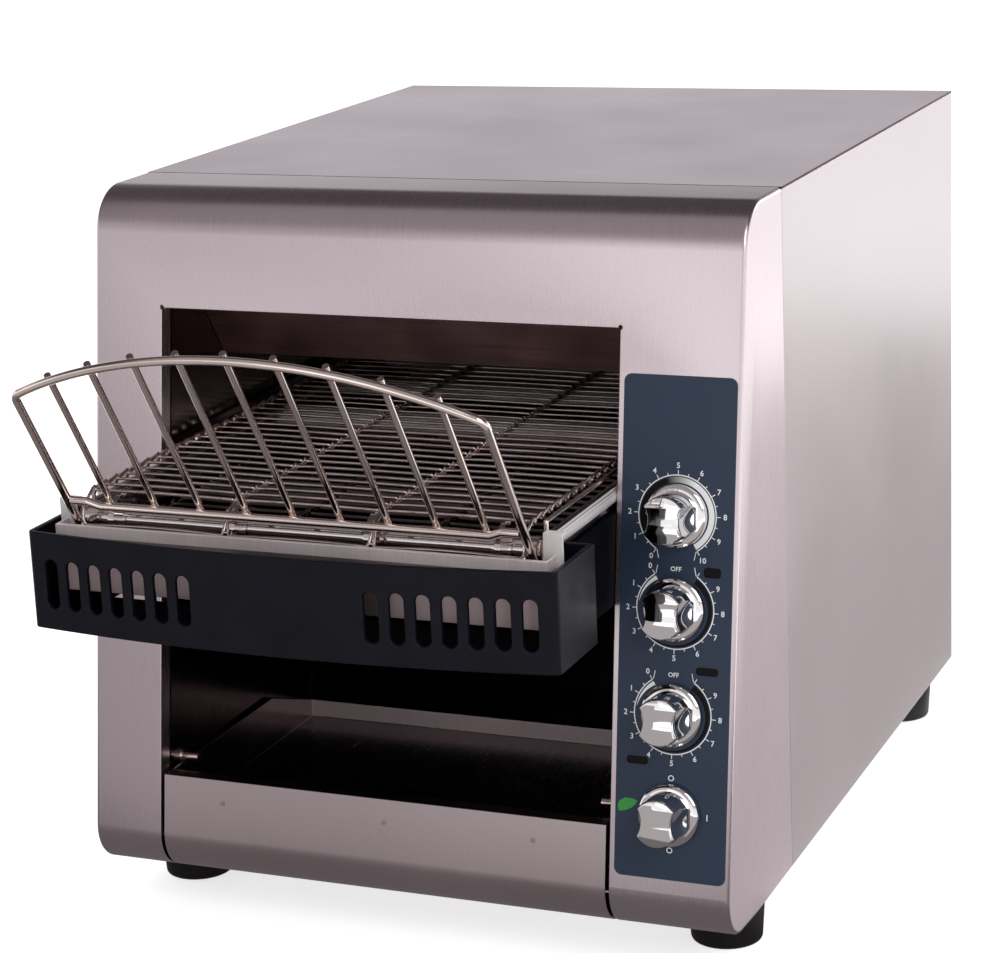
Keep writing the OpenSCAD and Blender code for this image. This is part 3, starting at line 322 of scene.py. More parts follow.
def pickByNormal(tree, vectorFront, vectorSide):
    geometry = tree.nodes.new("ShaderNodeNewGeometry")
    split = tree.nodes.new("ShaderNodeSeparateXYZ")
    size = tree.nodes.new("ShaderNodeMath")
    size.operation = "ABSOLUTE"
    step = tree.nodes.new("ShaderNodeMath")
    step.operation = "GREATER_THAN"
    step.inputs[1].default_value = grainRules["sideFrom"]
    mix = tree.nodes.new("ShaderNodeMix")
    mix.data_type = "VECTOR"
    link(tree, geometry, "Normal", split, "Vector")
    link(tree, split, "X", size, 0)
    link(tree, size, 0, step, 0)
    link(tree, step, 0, mix, 0)
    tree.links.new(vectorFront, mix.inputs[4])
    tree.links.new(vectorSide, mix.inputs[5])
    return mix.outputs[1]


def brushedSteel(name, spec):
    mat, tree, shader = newFinish(name, spec)
    grain = addMapping(tree, spec["grain"])
    if "sideGrain" in spec:
        grain = pickByNormal(tree, grain, addMapping(tree, spec["sideGrain"]))
    fine = addNoise(tree, grain, 1.0, 3.0, 0.6)
    cloud = addNoise(tree, addMapping(tree, (1, 1, 1)), spec.get("cloud", 9.0), 2.0)
    both = tree.nodes.new("ShaderNodeMath")
    both.operation = "MULTIPLY_ADD"
    both.inputs[1].default_value = grainRules["fineShare"]
    tree.links.new(fine, both.inputs[0])
    tree.links.new(addRange(tree, cloud, 0.0, grainRules["cloudShare"]), both.inputs[2])
    rough, spread = spec.get("rough", 0.35), spec.get("spread", 0.06)
    shine = addRange(tree, both.outputs[0], rough - spread, rough + spread)
    tree.links.new(shine, shader.inputs["Roughness"])
    colour = spec["colour"]
    dark = tuple(c * spec.get("darken", 0.92) for c in colour)
    light = tuple(min(1.0, c * grainRules["brushedLight"]) for c in colour)
    blend = addRange(tree, both.outputs[0], 0, 1)
    tree.links.new(tint(tree, blend, dark, light), shader.inputs["Base Color"])
    addBump(tree, shader, fine, spec.get("bump", 0.05), grainRules["bumpDepth"])
    return mat


def speckled(name, spec):
    mat, tree, shader = newFinish(name, spec)
    grain = addNoise(tree, addMapping(tree, (1, 1, 1)), spec.get("scale", 300.0), 3.0)
    cloud = addNoise(tree, addMapping(tree, (1, 1, 1)), spec.get("cloud", 14.0), 3.0)
    colour = spec["colour"]
    dark = tuple(c * spec.get("darken", 0.85) for c in colour)
    light = tuple(min(1.0, c * grainRules["speckledLight"]) for c in colour)
    tree.links.new(tint(tree, addRange(tree, cloud, 0, 1), dark, light), shader.inputs["Base Color"])
    rough, spread = spec.get("rough", 0.5), spec.get("spread", 0.05)
    tree.links.new(addRange(tree, cloud, rough - spread, rough + spread), shader.inputs["Roughness"])
    addBump(tree, shader, grain, spec.get("bump", 0.1), grainRules["bumpDepth"])
    return mat


def shadedInk(name, spec):
    # printing that runs from its dark colour to white by the mesh's own "shade" attribute
    mat, tree, shader = newFinish(name, spec)
    shade = tree.nodes.new("ShaderNodeAttribute")
    shade.attribute_name = "shade"
    grain = addNoise(tree, addMapping(tree, (1, 1, 1)), 500.0, 2.0)
    dark = tint(tree, grain, spec["colour"], spec["mottle"])
    mix = tree.nodes.new("ShaderNodeMix")
    mix.data_type = "RGBA"
    link(tree, shade, "Fac", mix, 0)
    tree.links.new(dark, mix.inputs[6])
    mix.inputs[7].default_value = (*spec["white"], 1)
    tree.links.new(mix.outputs[2], shader.inputs["Base Color"])
    return mat


finishes = {
    "faceSteel": brushedSteel("faceSteel", {
        "colour": (0.672, 0.592, 0.621), "metal": 1.0, "rough": 0.27, "grain": (2400, 12, 25),
        "sideGrain": (12, 2400, 25), "bump": 0.04, "spread": 0.03, "darken": 0.94}),
    "coverSteel": brushedSteel("coverSteel", {
        "colour": (0.52, 0.444, 0.492), "metal": 1.0, "rough": 0.30, "grain": (25, 2400, 12),
        "spread": 0.03, "darken": 0.955}),
    "sideSteel": brushedSteel("sideSteel", {
        "colour": (0.575, 0.523, 0.535), "metal": 1.0, "rough": 0.34, "grain": (12, 2400, 25),
        "bump": 0.09, "spread": 0.04, "darken": 0.94}),
    # painted shade: a darker copy of the front panel's steel for its flat top
    "flatTopShadedSteel": brushedSteel("flatTopShadedSteel", {
        "colour": (0.43, 0.37, 0.395), "metal": 1.0, "rough": 0.30, "grain": (25, 2400, 12),
        "spread": 0.03, "darken": 0.955}),
    # painted shadow: a dark finish for the cover's front edge, standing for the shade in the seam
    "seamShadowPaint": speckled("seamShadowPaint", {"colour": (0.035, 0.028, 0.03), "metal": 0.2, "rough": 0.6}),
    # painted shade: a near-black copy of the tray steel for the floor inside the tray
    "trayShadedFloor": brushedSteel("trayShadedFloor", {
        "colour": (0.09, 0.068, 0.072), "metal": 1.0, "rough": 0.25, "grain": (900, 40, 40)}),
    # painted light: a lighter, partly diffuse copy of the tray steel for the lip band
    "trayLitLip": brushedSteel("trayLitLip", {
        "colour": (0.86, 0.73, 0.75), "metal": 0.6, "rough": 0.42, "grain": (900, 40, 40)}),
    # painted highlight: a bright, partly diffuse finish for thin edge lines
    "edgeHighlightPaint": brushedSteel("edgeHighlightPaint", {
        "colour": (0.62, 0.54, 0.55), "metal": 0.35, "rough": 0.35, "grain": (900, 40, 40)}),
    "panSteel": brushedSteel("panSteel", {
        "colour": (0.56, 0.53, 0.54), "metal": 1.0, "rough": 0.45, "grain": (300, 300, 300)}),
    "trayFace": brushedSteel("trayFace", {
        "colour": (0.615, 0.535, 0.55), "metal": 1.0, "rough": 0.30, "grain": (2400, 12, 25),
        "bump": 0.04, "spread": 0.03, "darken": 0.955}),
    # painted shade: a darker copy of the tray steel for the faces inside the tray
    "trayShadedInner": brushedSteel("trayShadedInner", {
        "colour": (0.50, 0.43, 0.44), "metal": 1.0, "rough": 0.18, "grain": (900, 40, 40),
        "bump": 0.02, "spread": 0.03}),
    "laneSteel": brushedSteel("laneSteel", {
        "colour": (0.20, 0.145, 0.15), "metal": 1.0, "rough": 0.17, "grain": (500, 500, 12),
        "darken": 0.6, "spread": 0.04}),
    "baffleSteel": brushedSteel("baffleSteel", {
        "colour": (0.66, 0.43, 0.43), "metal": 1.0, "rough": 0.36, "grain": (12, 700, 700),
        "darken": 0.7, "cloud": 22.0}),
    "brightWire": speckled("brightWire", {
        "colour": (0.90, 0.79, 0.73), "metal": 1.0, "rough": 0.17, "bump": 0.02, "darken": 0.92}),
    "polished": brushedSteel("polished", {
        "colour": (0.74, 0.69, 0.68), "metal": 1.0, "rough": 0.11, "grain": (900, 20, 20), "bump": 0.02}),
    # painted shade and reflection: the side plates' steel darkened to stand for the dark belt they reflect
    "plateShadedSteel": brushedSteel("plateShadedSteel", {
        "colour": (0.24, 0.20, 0.20), "metal": 1.0, "rough": 0.22, "grain": (12, 400, 1200), "bump": 0.02}),
    # painted light: a bright, mostly diffuse copy of the side plates' steel for their front tabs
    "tabLitSteel": brushedSteel("tabLitSteel", {
        "colour": (0.80, 0.77, 0.78), "metal": 0.25, "rough": 0.42, "grain": (1200, 400, 12)}),
    # painted light: a lighter, partly diffuse copy for the feed plate's strip above the guard
    "feedLitSteel": brushedSteel("feedLitSteel", {
        "colour": (0.76, 0.67, 0.67), "metal": 0.35, "rough": 0.42, "grain": (1200, 400, 12),
        "darken": 0.88}),
    # painted shade: a darker copy for the feed plate below the guard's top
    "feedShadedLower": brushedSteel("feedShadedLower", {
        "colour": (0.62, 0.50, 0.51), "metal": 1.0, "rough": 0.45, "grain": (1200, 400, 12)}),
    "beltWire": speckled("beltWire", {
        "colour": (0.72, 0.62, 0.60), "metal": 1.0, "rough": 0.17, "bump": 0.03, "darken": 0.7,
        "cloud": 60.0}),
    # painted shade: a dark copy of the belt wire finish for the belt's lower run
    "beltShadedUnder": speckled("beltShadedUnder", {
        "colour": (0.16, 0.125, 0.12), "metal": 1.0, "rough": 0.30, "bump": 0.03, "darken": 0.7,
        "cloud": 60.0}),
    "knobChrome": speckled("knobChrome", {
        "colour": (0.84, 0.83, 0.83), "metal": 1.0, "rough": 0.05, "spread": 0.01, "bump": 0.0,
        "darken": 0.97}),
    "guardBlack": speckled("guardBlack", {
        "colour": (0.0030, 0.0040, 0.0090), "rough": 0.42, "bump": 0.35, "scale": 90.0, "cloud": 45.0,
        "spread": 0.09, "shine": 0.20, "darken": 0.7}),
    # painted shade: a darker, duller black for the guard's inner faces
    "guardShadedInner": speckled("guardShadedInner", {
        "colour": (0.003, 0.0035, 0.006), "rough": 0.6, "bump": 0.2, "shine": 0.05}),
    "footRubber": speckled("footRubber", {
        "colour": (0.009, 0.008, 0.009), "rough": 0.5, "bump": 0.2, "shine": 0.3}),
    "plateSlate": speckled("plateSlate", {
        "colour": (0.022, 0.037, 0.070), "rough": 0.42, "bump": 0.02, "darken": 0.97, "shine": 0.35}),
    "quartz": speckled("quartz", {
        "colour": (0.90, 0.89, 0.86), "rough": 0.2, "clear": 0.5, "bump": 0.02}),
    "coil": speckled("coil", {"colour": (0.45, 0.26, 0.16), "metal": 1.0, "rough": 0.5}),
    "ceramic": speckled("ceramic", {"colour": (0.80, 0.77, 0.72), "rough": 0.4, "bump": 0.1}),
    "bronze": speckled("bronze", {"colour": (0.50, 0.33, 0.17), "metal": 1.0, "rough": 0.38}),
    "blackNylon": speckled("blackNylon", {"colour": (0.022, 0.022, 0.024), "rough": 0.5}),
    "brownPhenolic": speckled("brownPhenolic", {"colour": (0.055, 0.043, 0.036), "rough": 0.5}),
    "whiteNylon": speckled("whiteNylon", {"colour": (0.74, 0.72, 0.67), "rough": 0.45}),
    "motorGrey": speckled("motorGrey", {"colour": (0.10, 0.105, 0.115), "rough": 0.42}),
    "chainSteel": speckled("chainSteel", {"colour": (0.28, 0.26, 0.24), "metal": 1.0, "rough": 0.38}),
    "dialWhite": speckled("dialWhite", {
        "colour": (0.86, 0.86, 0.87), "rough": 0.45, "darken": 0.95, "bump": 0.0}),
    "dialGreen": speckled("dialGreen", {
        "colour": (0.03, 0.33, 0.05), "rough": 0.45, "darken": 0.9, "bump": 0.0}),
    "dialShade": shadedInk("dialShade", {
        "colour": (0.004, 0.003, 0.004), "mottle": (0.0052, 0.0039, 0.0052), "white": (0.86, 0.86, 0.87),
        "rough": 0.42, "shine": 0.15}),
    "spotMark": speckled("spotMark", {
        "colour": (0.44, 0.375, 0.385), "metal": 1.0, "rough": 0.4, "bump": 0.05}),
    "weld": speckled("weld", {
        "colour": (0.62, 0.50, 0.40), "metal": 1.0, "rough": 0.35, "bump": 0.3, "darken": 0.7}),
    "loomSleeve": speckled("loomSleeve", {
        "colour": (0.52, 0.47, 0.38), "rough": 0.8, "bump": 0.5, "scale": 900.0}),
}

nodeFinish = {
    "front_panel": "faceSteel", "top_cover": "coverSteel", "left_side_panel": "sideSteel",
    "right_side_panel": "sideSteel", "crumb_tray": "trayFace", "base_pan": "panSteel",
    "back_panel": "panSteel", "tray_runners": "panSteel", "conveyor_spacers": "panSteel",
    "motor_bracket": "panSteel", "speed_spindle": "panSteel", "top_heat_spindle": "panSteel",
    "bottom_heat_spindle": "panSteel", "power_spindle": "panSteel",
    "left_lane_wall": "laneSteel", "right_lane_wall": "laneSteel", "lane_ceiling": "laneSteel",
    "front_baffle": "baffleSteel", "rear_chute": "laneSteel", "toast_slide": "laneSteel",
    "rack_hoop": "brightWire", "rack_cross_rod": "brightWire", "rack_wires": "brightWire",
    "rack_sockets": "polished", "belt_edge_guides": "brightWire", "tray_pins": "brightWire",
    "panel_screws": "polished", "foot_bolts": "polished", "left_side_plate": "plateShadedSteel",
    "right_side_plate": "plateShadedSteel", "front_shaft": "polished", "front_sprockets": "polished",
    "front_spacer_tubes": "polished", "rear_shaft": "polished", "rear_sprockets": "polished",
    "rear_spacer_tubes": "polished", "feed_plate": "feedLitSteel", "wire_belt": "beltWire",
    "speed_knob": "knobChrome", "top_heat_knob": "knobChrome", "bottom_heat_knob": "knobChrome",
    "power_knob": "knobChrome", "slotted_guard": "guardBlack", "feet": "footRubber",
    "control_plate": "plateSlate", "upper_heater_tubes": "quartz", "lower_heater_tubes": "quartz",
    "heater_coils": "coil", "heater_end_caps": "ceramic", "shaft_bushings": "bronze",
    "cooling_fan_frame": "blackNylon", "cooling_fan_rotor": "blackNylon", "cord_bushing": "blackNylon",
    "control_switches": "brownPhenolic", "terminal_block": "whiteNylon", "gear_motor": "motorGrey",
    "drive_sprocket": "chainSteel", "drive_chain": "chainSteel", "motor_sprocket": "chainSteel",
    "wiring_loom": "loomSleeve",
}

for nodeName, nodeObject in frame["nodes"].items():
    nodeObject.data.materials.clear()
    nodeObject.data.materials.append(finishes[nodeFinish[nodeName]])
print("finishes set:", len(finishes))

bodyOf = {held: body for body, nodes in frame["record"]["behaviour"]["bodies"].items() for held in nodes}


def newPiece(name, mesh, finish, body, replaced=()):
    mesh.materials.clear()
    mesh.materials.append(finishes[finish])
    piece = bpy.data.objects.new(name, mesh)
    scene.collection.objects.link(piece)
    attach(piece, body)
    if replaced:
        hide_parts(*replaced)
    return piece


meshing = {
    "merge": 2e-6,
    "flatWithin": math.radians(0.3),
    "sharpFrom": 32,  # degrees
    "edgeSegments": 2,
}


def smoothed(mesh, angle=meshing["sharpFrom"]):
    mesh.polygons.foreach_set("use_smooth", [True] * len(mesh.polygons))
    mesh.set_sharp_from_angle(angle=math.radians(angle))


def meshFrom(shell, name):
    mesh = bpy.data.meshes.new(name)
    shell.to_mesh(mesh)
    shell.free()
    return mesh


def holderOf(mesh):
    holder = bpy.data.objects.new("holder", mesh)
    scene.collection.objects.link(holder)
    return holder


def bakedMesh(holder, name):
    graph = bpy.context.evaluated_depsgraph_get()
    mesh = bpy.data.meshes.new_from_object(holder.evaluated_get(graph))
    mesh.name = name
    bpy.data.objects.remove(holder)
    return mesh


def softened(node, name, width=0.0, turned=None):
    # a merged copy of the plain solid, its sharp edges broken by width
    shell = bmesh.new()
    shell.from_mesh(frame["nodes"][node].data)
    bmesh.ops.remove_doubles(shell, verts=shell.verts, dist=meshing["merge"])
    bmesh.ops.dissolve_limit(shell, angle_limit=meshing["flatWithin"], verts=shell.verts, edges=shell.edges)
    if turned:
        turned(shell)
    mesh = meshFrom(shell, name)
    smoothed(mesh)
    if width:
        holder = holderOf(mesh)
        edge = holder.modifiers.new("edge", "BEVEL")
        edge.width = width
        edge.segments = meshing["edgeSegments"]
        edge.limit_method = "ANGLE"
        edge.angle_limit = math.radians(meshing["sharpFrom"])
        edge.harden_normals = True
        edge.use_clamp_overlap = False
        mesh = bakedMesh(holder, name)
    return newPiece(name, mesh, nodeFinish[node], bodyOf[node], [node])


sheetWork = {
    "sideBend": 0.0022,
    "bendSegments": 4,
    "frontEdge": 0.0005,
    "edges": {  # broken edge of each piece
        "top_cover": 0.0006, "left_side_panel": 0.0004, "right_side_panel": 0.0004, "crumb_tray": 0.00035,
        "slotted_guard": 0.0007, "feed_plate": 0.0003, "left_side_plate": 0.0003, "right_side_plate": 0.0003,
        "control_plate": 0.0002, "feet": 0.0015, "base_pan": 0.0004, "back_panel": 0.0003,
        "rack_sockets": 0.0005, "front_baffle": 0.0003},
    "smoothOnly": ["rack_hoop", "rack_cross_rod", "rack_wires", "belt_edge_guides", "front_spacer_tubes",
                   "front_shaft", "tray_pins"],
}

paintLines = {  # where one finish gives way to another, in metres
    "flatTop": 0.35,
    "faceSlack": 0.003,
    "trayInside": 0.04,
    "trayShadedFloor": 0.058,
    "trayLitLip": (0.008, 0.017),
    "trayLipTop": 0.0558,
    "coverFront": 0.0007,
    "plateTabs": 0.1284,
    "guardInside": (0.2468, 0.1425),
    # the feed plate's painted light above this line gives way to painted shade below it
    "feedLine": 0.2425,  # just under the line where the feed plate shows above the guard
}


def turnSideEdges(shell):
    # the long front corners, where the sheet turns back to the sides
    limit = casing["halfWidth"] - 0.00005  # as far out as the sheet's own sides
    picked = []
    for edge in shell.edges:
        if len(edge.link_faces) != 2 or any(abs(v.co.x) < limit for v in edge.verts):
            continue
        one, two = (face.normal for face in edge.link_faces)
        if abs(one.x) < abs(two.x):
            one, two = two, one
        if abs(one.x) > 0.99 and abs(two.x) < 0.1 and (two.y < -0.02 or two.z > 0.3):
            picked.append(edge)
    bmesh.ops.bevel(shell, geom=picked, offset=sheetWork["sideBend"], segments=sheetWork["bendSegments"],
                    profile=0.5, affect="EDGES", clamp_overlap=False)


# splits the sheet at the feed line, where painted light meets painted shade
def cutFeedPlate(shell):
    bmesh.ops.bisect_plane(shell, geom=shell.verts[:] + shell.edges[:] + shell.faces[:],
                           plane_co=(0, 0, paintLines["feedLine"]), plane_no=(0, 0, 1))


def paintRegion(piece, finish, test):
    # another finish on the faces that pass a test on their middle and the way they face
    piece.data.materials.append(finishes[finish])
    for face in piece.data.polygons:
        if test(face.center, face.normal):
            face.material_index = len(piece.data.materials) - 1


frontSheet = softened("front_panel", "frontPanelSheet", sheetWork["frontEdge"], turned=turnSideEdges)
sheetPieces = {sheetNode: softened(sheetNode, sheetNode + "_finished", sheetEdge,
                                   turned=cutFeedPlate if sheetNode == "feed_plate" else None)
               for sheetNode, sheetEdge in sheetWork["edges"].items()}


def behindFace(at):
    height = at.z - casing["footHeight"]
    leaning = height * math.tan(casing["faceLean"]) - casing["faceFoot"]
    return at.y - casing["seamY"] > leaning + paintLines["faceSlack"]


def onTrayLip(at):
    return paintLines["trayLitLip"][0] < at.y < paintLines["trayLitLip"][1] and at.z > paintLines["trayLipTop"]


def inGuard(at):
    below, half = paintLines["guardInside"]
    return at.z < below and abs(at.x - casing["laneX"]) < half


def onPlateTab(at):
    return abs(at.x - casing["laneX"]) > paintLines["plateTabs"]


# painted shade: the front panel's flat top takes the darker copy of its steel
paintRegion(frontSheet, "flatTopShadedSteel", lambda at, way: way.z > 0.97 and at.z > paintLines["flatTop"])
trayPiece = sheetPieces["crumb_tray"]
# painted shade: the faces inside the tray take the darker copy of its steel
paintRegion(trayPiece, "trayShadedInner", lambda at, way: behindFace(at) and at.z > paintLines["trayInside"])
# painted shade: the tray's inner floor takes the near-black copy
paintRegion(trayPiece, "trayShadedFloor",
            lambda at, way: behindFace(at) and way.z > 0.9 and at.z < paintLines["trayShadedFloor"])
# painted light: the tray's lip band takes the lighter copy of its steel
paintRegion(trayPiece, "trayLitLip", lambda at, way: onTrayLip(at))
# painted highlight: the lip's upward edge faces are painted bright
paintRegion(trayPiece, "edgeHighlightPaint", lambda at, way: onTrayLip(at) and way.z > 0.3)
# painted shadow: the cover's front edge is painted dark where it meets the front panel
paintRegion(sheetPieces["top_cover"], "seamShadowPaint",
            lambda at, way: at.y < casing["seamY"] + paintLines["coverFront"] and way.y < -0.3)
# painted light: the side plates' front tabs take the bright copy, while the rest keeps its painted shade
for plateName in ("left_side_plate", "right_side_plate"):
    paintRegion(sheetPieces[plateName], "tabLitSteel", lambda at, way: onPlateTab(at))
# painted shade: the guard's inner faces take the darker black
paintRegion(sheetPieces["slotted_guard"], "guardShadedInner", lambda at, way: inGuard(at) and way.y > -0.2)
# painted shade: the feed plate below the feed line takes the darker copy
paintRegion(sheetPieces["feed_plate"], "feedShadedLower", lambda at, way: at.z < paintLines["feedLine"])
for wireNode in sheetWork["smoothOnly"]:
    softened(wireNode, wireNode + "_finished")
print("sheet and wire pieces ready")


def faceFrame(x, z):
    # right, up the leaning face, and out of it, at a height on the face; all in millimetres
    sine, cosine = math.sin(casing["faceLean"]), math.cos(casing["faceLean"])
    origin = place(x / 1000, z / 1000 * math.tan(casing["faceLean"]) - casing["faceFoot"], z / 1000)
    turn = Matrix(((1, 0, 0), (0, sine, -cosine), (0, cosine, sine))).to_4x4()
    return Matrix.Translation(origin) @ turn @ Matrix.Scale(0.001, 4)


def loft(shell, loops):
    rows = [[shell.verts.new(point) for point in loop] for loop in loops]
    count = len(rows[0])
    for low, high in zip(rows, rows[1:]):
        for i in range(count):
            k = (i + 1) % count
            shell.faces.new((low[i], low[k], high[k], high[i]))
    shell.faces.new(list(reversed(rows[0])))
    shell.faces.new(rows[-1])


def lathe(shell, profile, steps):
    # profile is a closed run of (radius, height), turned about Z
    rows = []
    for i in range(steps):
        a = 2 * math.pi * i / steps
        rows.append([shell.verts.new((r * math.cos(a), r * math.sin(a), h)) for r, h in profile])
    for i in range(steps):
        one, two = rows[i], rows[(i + 1) % steps]
        for k in range(len(profile)):
            m = (k + 1) % len(profile)
            shell.faces.new((one[k], two[k], two[m], one[m]))


traySpots = {
    "xs": (-104.8, -8.5, 76.7),
    "z": 45.0,
    "sides": 20,
    "profile": [(1.5, -0.2), (1.5, 0.009), (1.125, 0.03), (0.6, 0.018)],  # radius and height, millimetres
    "sharpFrom": 60,
}


def makeTraySpots(spec):
    shell = bmesh.new()
    turns = [2 * math.pi * i / spec["sides"] for i in range(spec["sides"])]
    for x in spec["xs"]:
        disc = bmesh.new()
        loft(disc, [[(r * math.cos(a), r * math.sin(a), h) for a in turns] for r, h in spec["profile"]])
        disc.transform(faceFrame(x, spec["z"]))
        shell.from_mesh(meshFrom(disc, "spot"))
    mesh = meshFrom(shell, "traySpots")
    smoothed(mesh, spec["sharpFrom"])
    newPiece("traySpots", mesh, "spotMark", "tray")


makeTraySpots(traySpots)

knobs = {  # millimetres
    "x": 151.8,
    "heights": {"speed": 218.5, "top_heat": 171.5, "bottom_heat": 118.0, "power": 67.0},
    "lift": 1.5,
    "turnSteps": 64,
    "sideSteps": 14,
    "arcSteps": 18,
    "sharpFrom": 28,
    "skirt": [(9.5, 0.0), (16.2, 0.0), (16.2, 2.3), (15.95, 3.1), (15.3, 3.7), (13.9, 4.1), (9.5, 4.4)],
    # height, end radius, waist half width, and how fast the sides spread from the waist
    "grip": [(3.9, 13.0, 12.3, 0.003), (5.2, 13.0, 11.9, 0.005), (7.0, 12.95, 11.0, 0.013),
             (9.2, 12.85, 9.9, 0.022), (12.0, 12.7, 9.0, 0.030), (15.5, 12.5, 8.35, 0.036),
             (19.5, 12.3, 8.05, 0.0385), (21.9, 12.2, 7.95, 0.0388), (22.45, 12.05, 7.82, 0.0388),
             (22.85, 11.7, 7.5, 0.0388), (23.0, 11.3, 7.15, 0.0388)],
}


def gripOutline(endRadius, waist, spread):
    sideSteps, arcSteps = knobs["sideSteps"], knobs["arcSteps"]
    low, high = 0.0, endRadius
    for _ in range(40):  # halves down to the height where side and arc meet
        y = (low + high) / 2
        if math.sqrt(endRadius ** 2 - y * y) > waist + spread * y * y:
            low = y
        else:
            high = y
    corner = math.atan2(low, waist + spread * low * low)
    sideYs = [low * (2 * i / sideSteps - 1) for i in range(sideSteps + 1)]
    arc = [corner + (math.pi - 2 * corner) * i / arcSteps for i in range(1, arcSteps)]
    right = [(waist + spread * y * y, y) for y in sideYs]
    top = [(endRadius * math.cos(a), endRadius * math.sin(a)) for a in arc]
    return right + top + [(-x, -y) for x, y in right] + [(-x, -y) for x, y in top]


def makeKnob(control, z):
    shell = bmesh.new()
    lathe(shell, [(r, h + knobs["lift"]) for r, h in knobs["skirt"]], knobs["turnSteps"])
    loft(shell, [[(x, y, h + knobs["lift"]) for x, y in gripOutline(r, waist, spread)]
                 for h, r, waist, spread in knobs["grip"]])
    bmesh.ops.recalc_face_normals(shell, faces=shell.faces)
    shell.transform(faceFrame(knobs["x"], z))
    mesh = meshFrom(shell, control + "Knob")
    smoothed(mesh, knobs["sharpFrom"])
    node = control + "_knob"
    newPiece(control + "KnobCast", mesh, "knobChrome", bodyOf[node], [node])


for knobName, knobHeight in knobs["heights"].items():
    makeKnob(knobName, knobHeight)
print("knobs ready")


dials = {  # millimetres from each knob's axis, and degrees clockwise from the top
    "ink": (0.82, 0.90),
    "ring": (20.2, 20.75),
    "ringSteps": 72,
    "major": (20.7, 22.9),
    "minor": (20.7, 21.9),
    "markWidth": 0.4,
    "labelRadius": 25.2,
    "lastLabelOut": 0.8,
    "digit": 4.0,
    "letterSteps": 3,
    "letterWeight": 0.05,
    "offHeight": 20.3,
    "offSize": 3.3,
    "curl": {"start": (20.5, 1.5), "end": (24.0, 9), "width": 0.35},
    "wedge": {"inner": 19.4, "swell": 2.1, "outer": 19.5, "turn": 48, "steps": 24},
    "speedBand": {"inner": 16.7, "outer": 19.6, "steps": 96, "whiteFrom": 0.44, "whiteOver": 0.16},
    "heatBand": {"inner": 19.4, "swell": 2.7, "power": 0.7, "outer": 19.55, "from": 35, "to": 212,
                 "steps": 60},
    "boxCorner": 1.9,
    "boxSides": 24,
    "speed": {"first": -148.0, "last": 148.0, "turn": 1, "boxes": []},
    "topHeat": {"first": -33.0, "last": -327.0, "turn": -1, "boxes": [((19.2, 19.7), (9.2, 5.2))]},
    "bottomHeat": {"first": -33.0, "last": -327.0, "turn": -1,
                   "boxes": [((17.7, 23.4), (12.0, 4.2)), ((-18.3, -25.1), (11.6, 4.2))]},
}


def polar(radius, degrees):
    a = math.radians(degrees)
    return radius * math.sin(a), radius * math.cos(a)


def addBand(shell, inner, outer, start, end, steps, shade=None, tone=lambda t: 0.0):
    # inner and outer give the radius, and tone the shade, for t from 0 to 1
    low, high = dials["ink"]
    rows = []
    for i in range(steps + 1):
        t = i / steps
        a = start + (end - start) * t
        corners = [(*polar(inner(t), a), low), (*polar(outer(t), a), low),
                   (*polar(outer(t), a), high), (*polar(inner(t), a), high)]
        rows.append([shell.verts.new(point) for point in corners])
        if shade is not None:
            for vert in rows[-1]:
                vert[shade] = (*([min(1.0, max(0.0, tone(t)))] * 3), 1.0)
    for one, two in zip(rows, rows[1:]):
        for k in range(4):
            m = (k + 1) % 4
            shell.faces.new((one[k], two[k], two[m], one[m]))
    shell.faces.new(list(reversed(rows[0])))
    shell.faces.new(rows[-1])


def addBar(shell, one, two, width):
    # a flat printed line between two points on the plate
    low, high = dials["ink"]
    ahead = Vector((two[0] - one[0], two[1] - one[1], 0)).normalized() * (width / 2)
    aside = Vector((-ahead.y, ahead.x, 0))
    corners = [Vector((*one, 0)) - aside, Vector((*two, 0)) - aside, Vector((*two, 0)) + aside,
               Vector((*one, 0)) + aside]
    loft(shell, [[(c.x, c.y, low) for c in corners], [(c.x, c.y, high) for c in corners]])


def addText(shell, words, at, size):
    curve = bpy.data.curves.new("dialText", "FONT")
    curve.body = words
    curve.size = size
    curve.align_x, curve.align_y = "CENTER", "CENTER"
    curve.extrude = (dials["ink"][1] - dials["ink"][0]) / 2
    curve.resolution_u = dials["letterSteps"]
    curve.offset = dials["letterWeight"]
    mesh = bakedMesh(holderOf(curve), "dialText")
    mesh.transform(Matrix.Translation((at[0], at[1], sum(dials["ink"]) / 2)))
    shell.from_mesh(mesh)


def addBox(shell, shade, centre, size):
    # a blank dark box with round corners
    corner, sides = dials["boxCorner"], dials["boxSides"]
    outline = []
    for i in range(sides):
        a = 2 * math.pi * (i + 0.5) / sides
        x = math.copysign(size[0] / 2 - corner, math.cos(a)) + corner * math.cos(a)
        y = math.copysign(size[1] / 2 - corner, math.sin(a)) + corner * math.sin(a)
        outline.append((centre[0] + x, centre[1] + y))
    known = set(shell.verts)
    loft(shell, [[(x, y, up) for x, y in outline] for up in dials["ink"]])
    for vert in shell.verts:
        if vert not in known:
            vert[shade] = (0.0, 0.0, 0.0, 1.0)


def startDial():
    shell = bmesh.new()
    return shell, shell.verts.layers.float_color.new("shade")


def finishDial(shell, height, name, finish):
    bmesh.ops.recalc_face_normals(shell, faces=shell.faces)
    shell.transform(faceFrame(knobs["x"], height))
    newPiece(name, meshFrom(shell, name), finish, "casing")


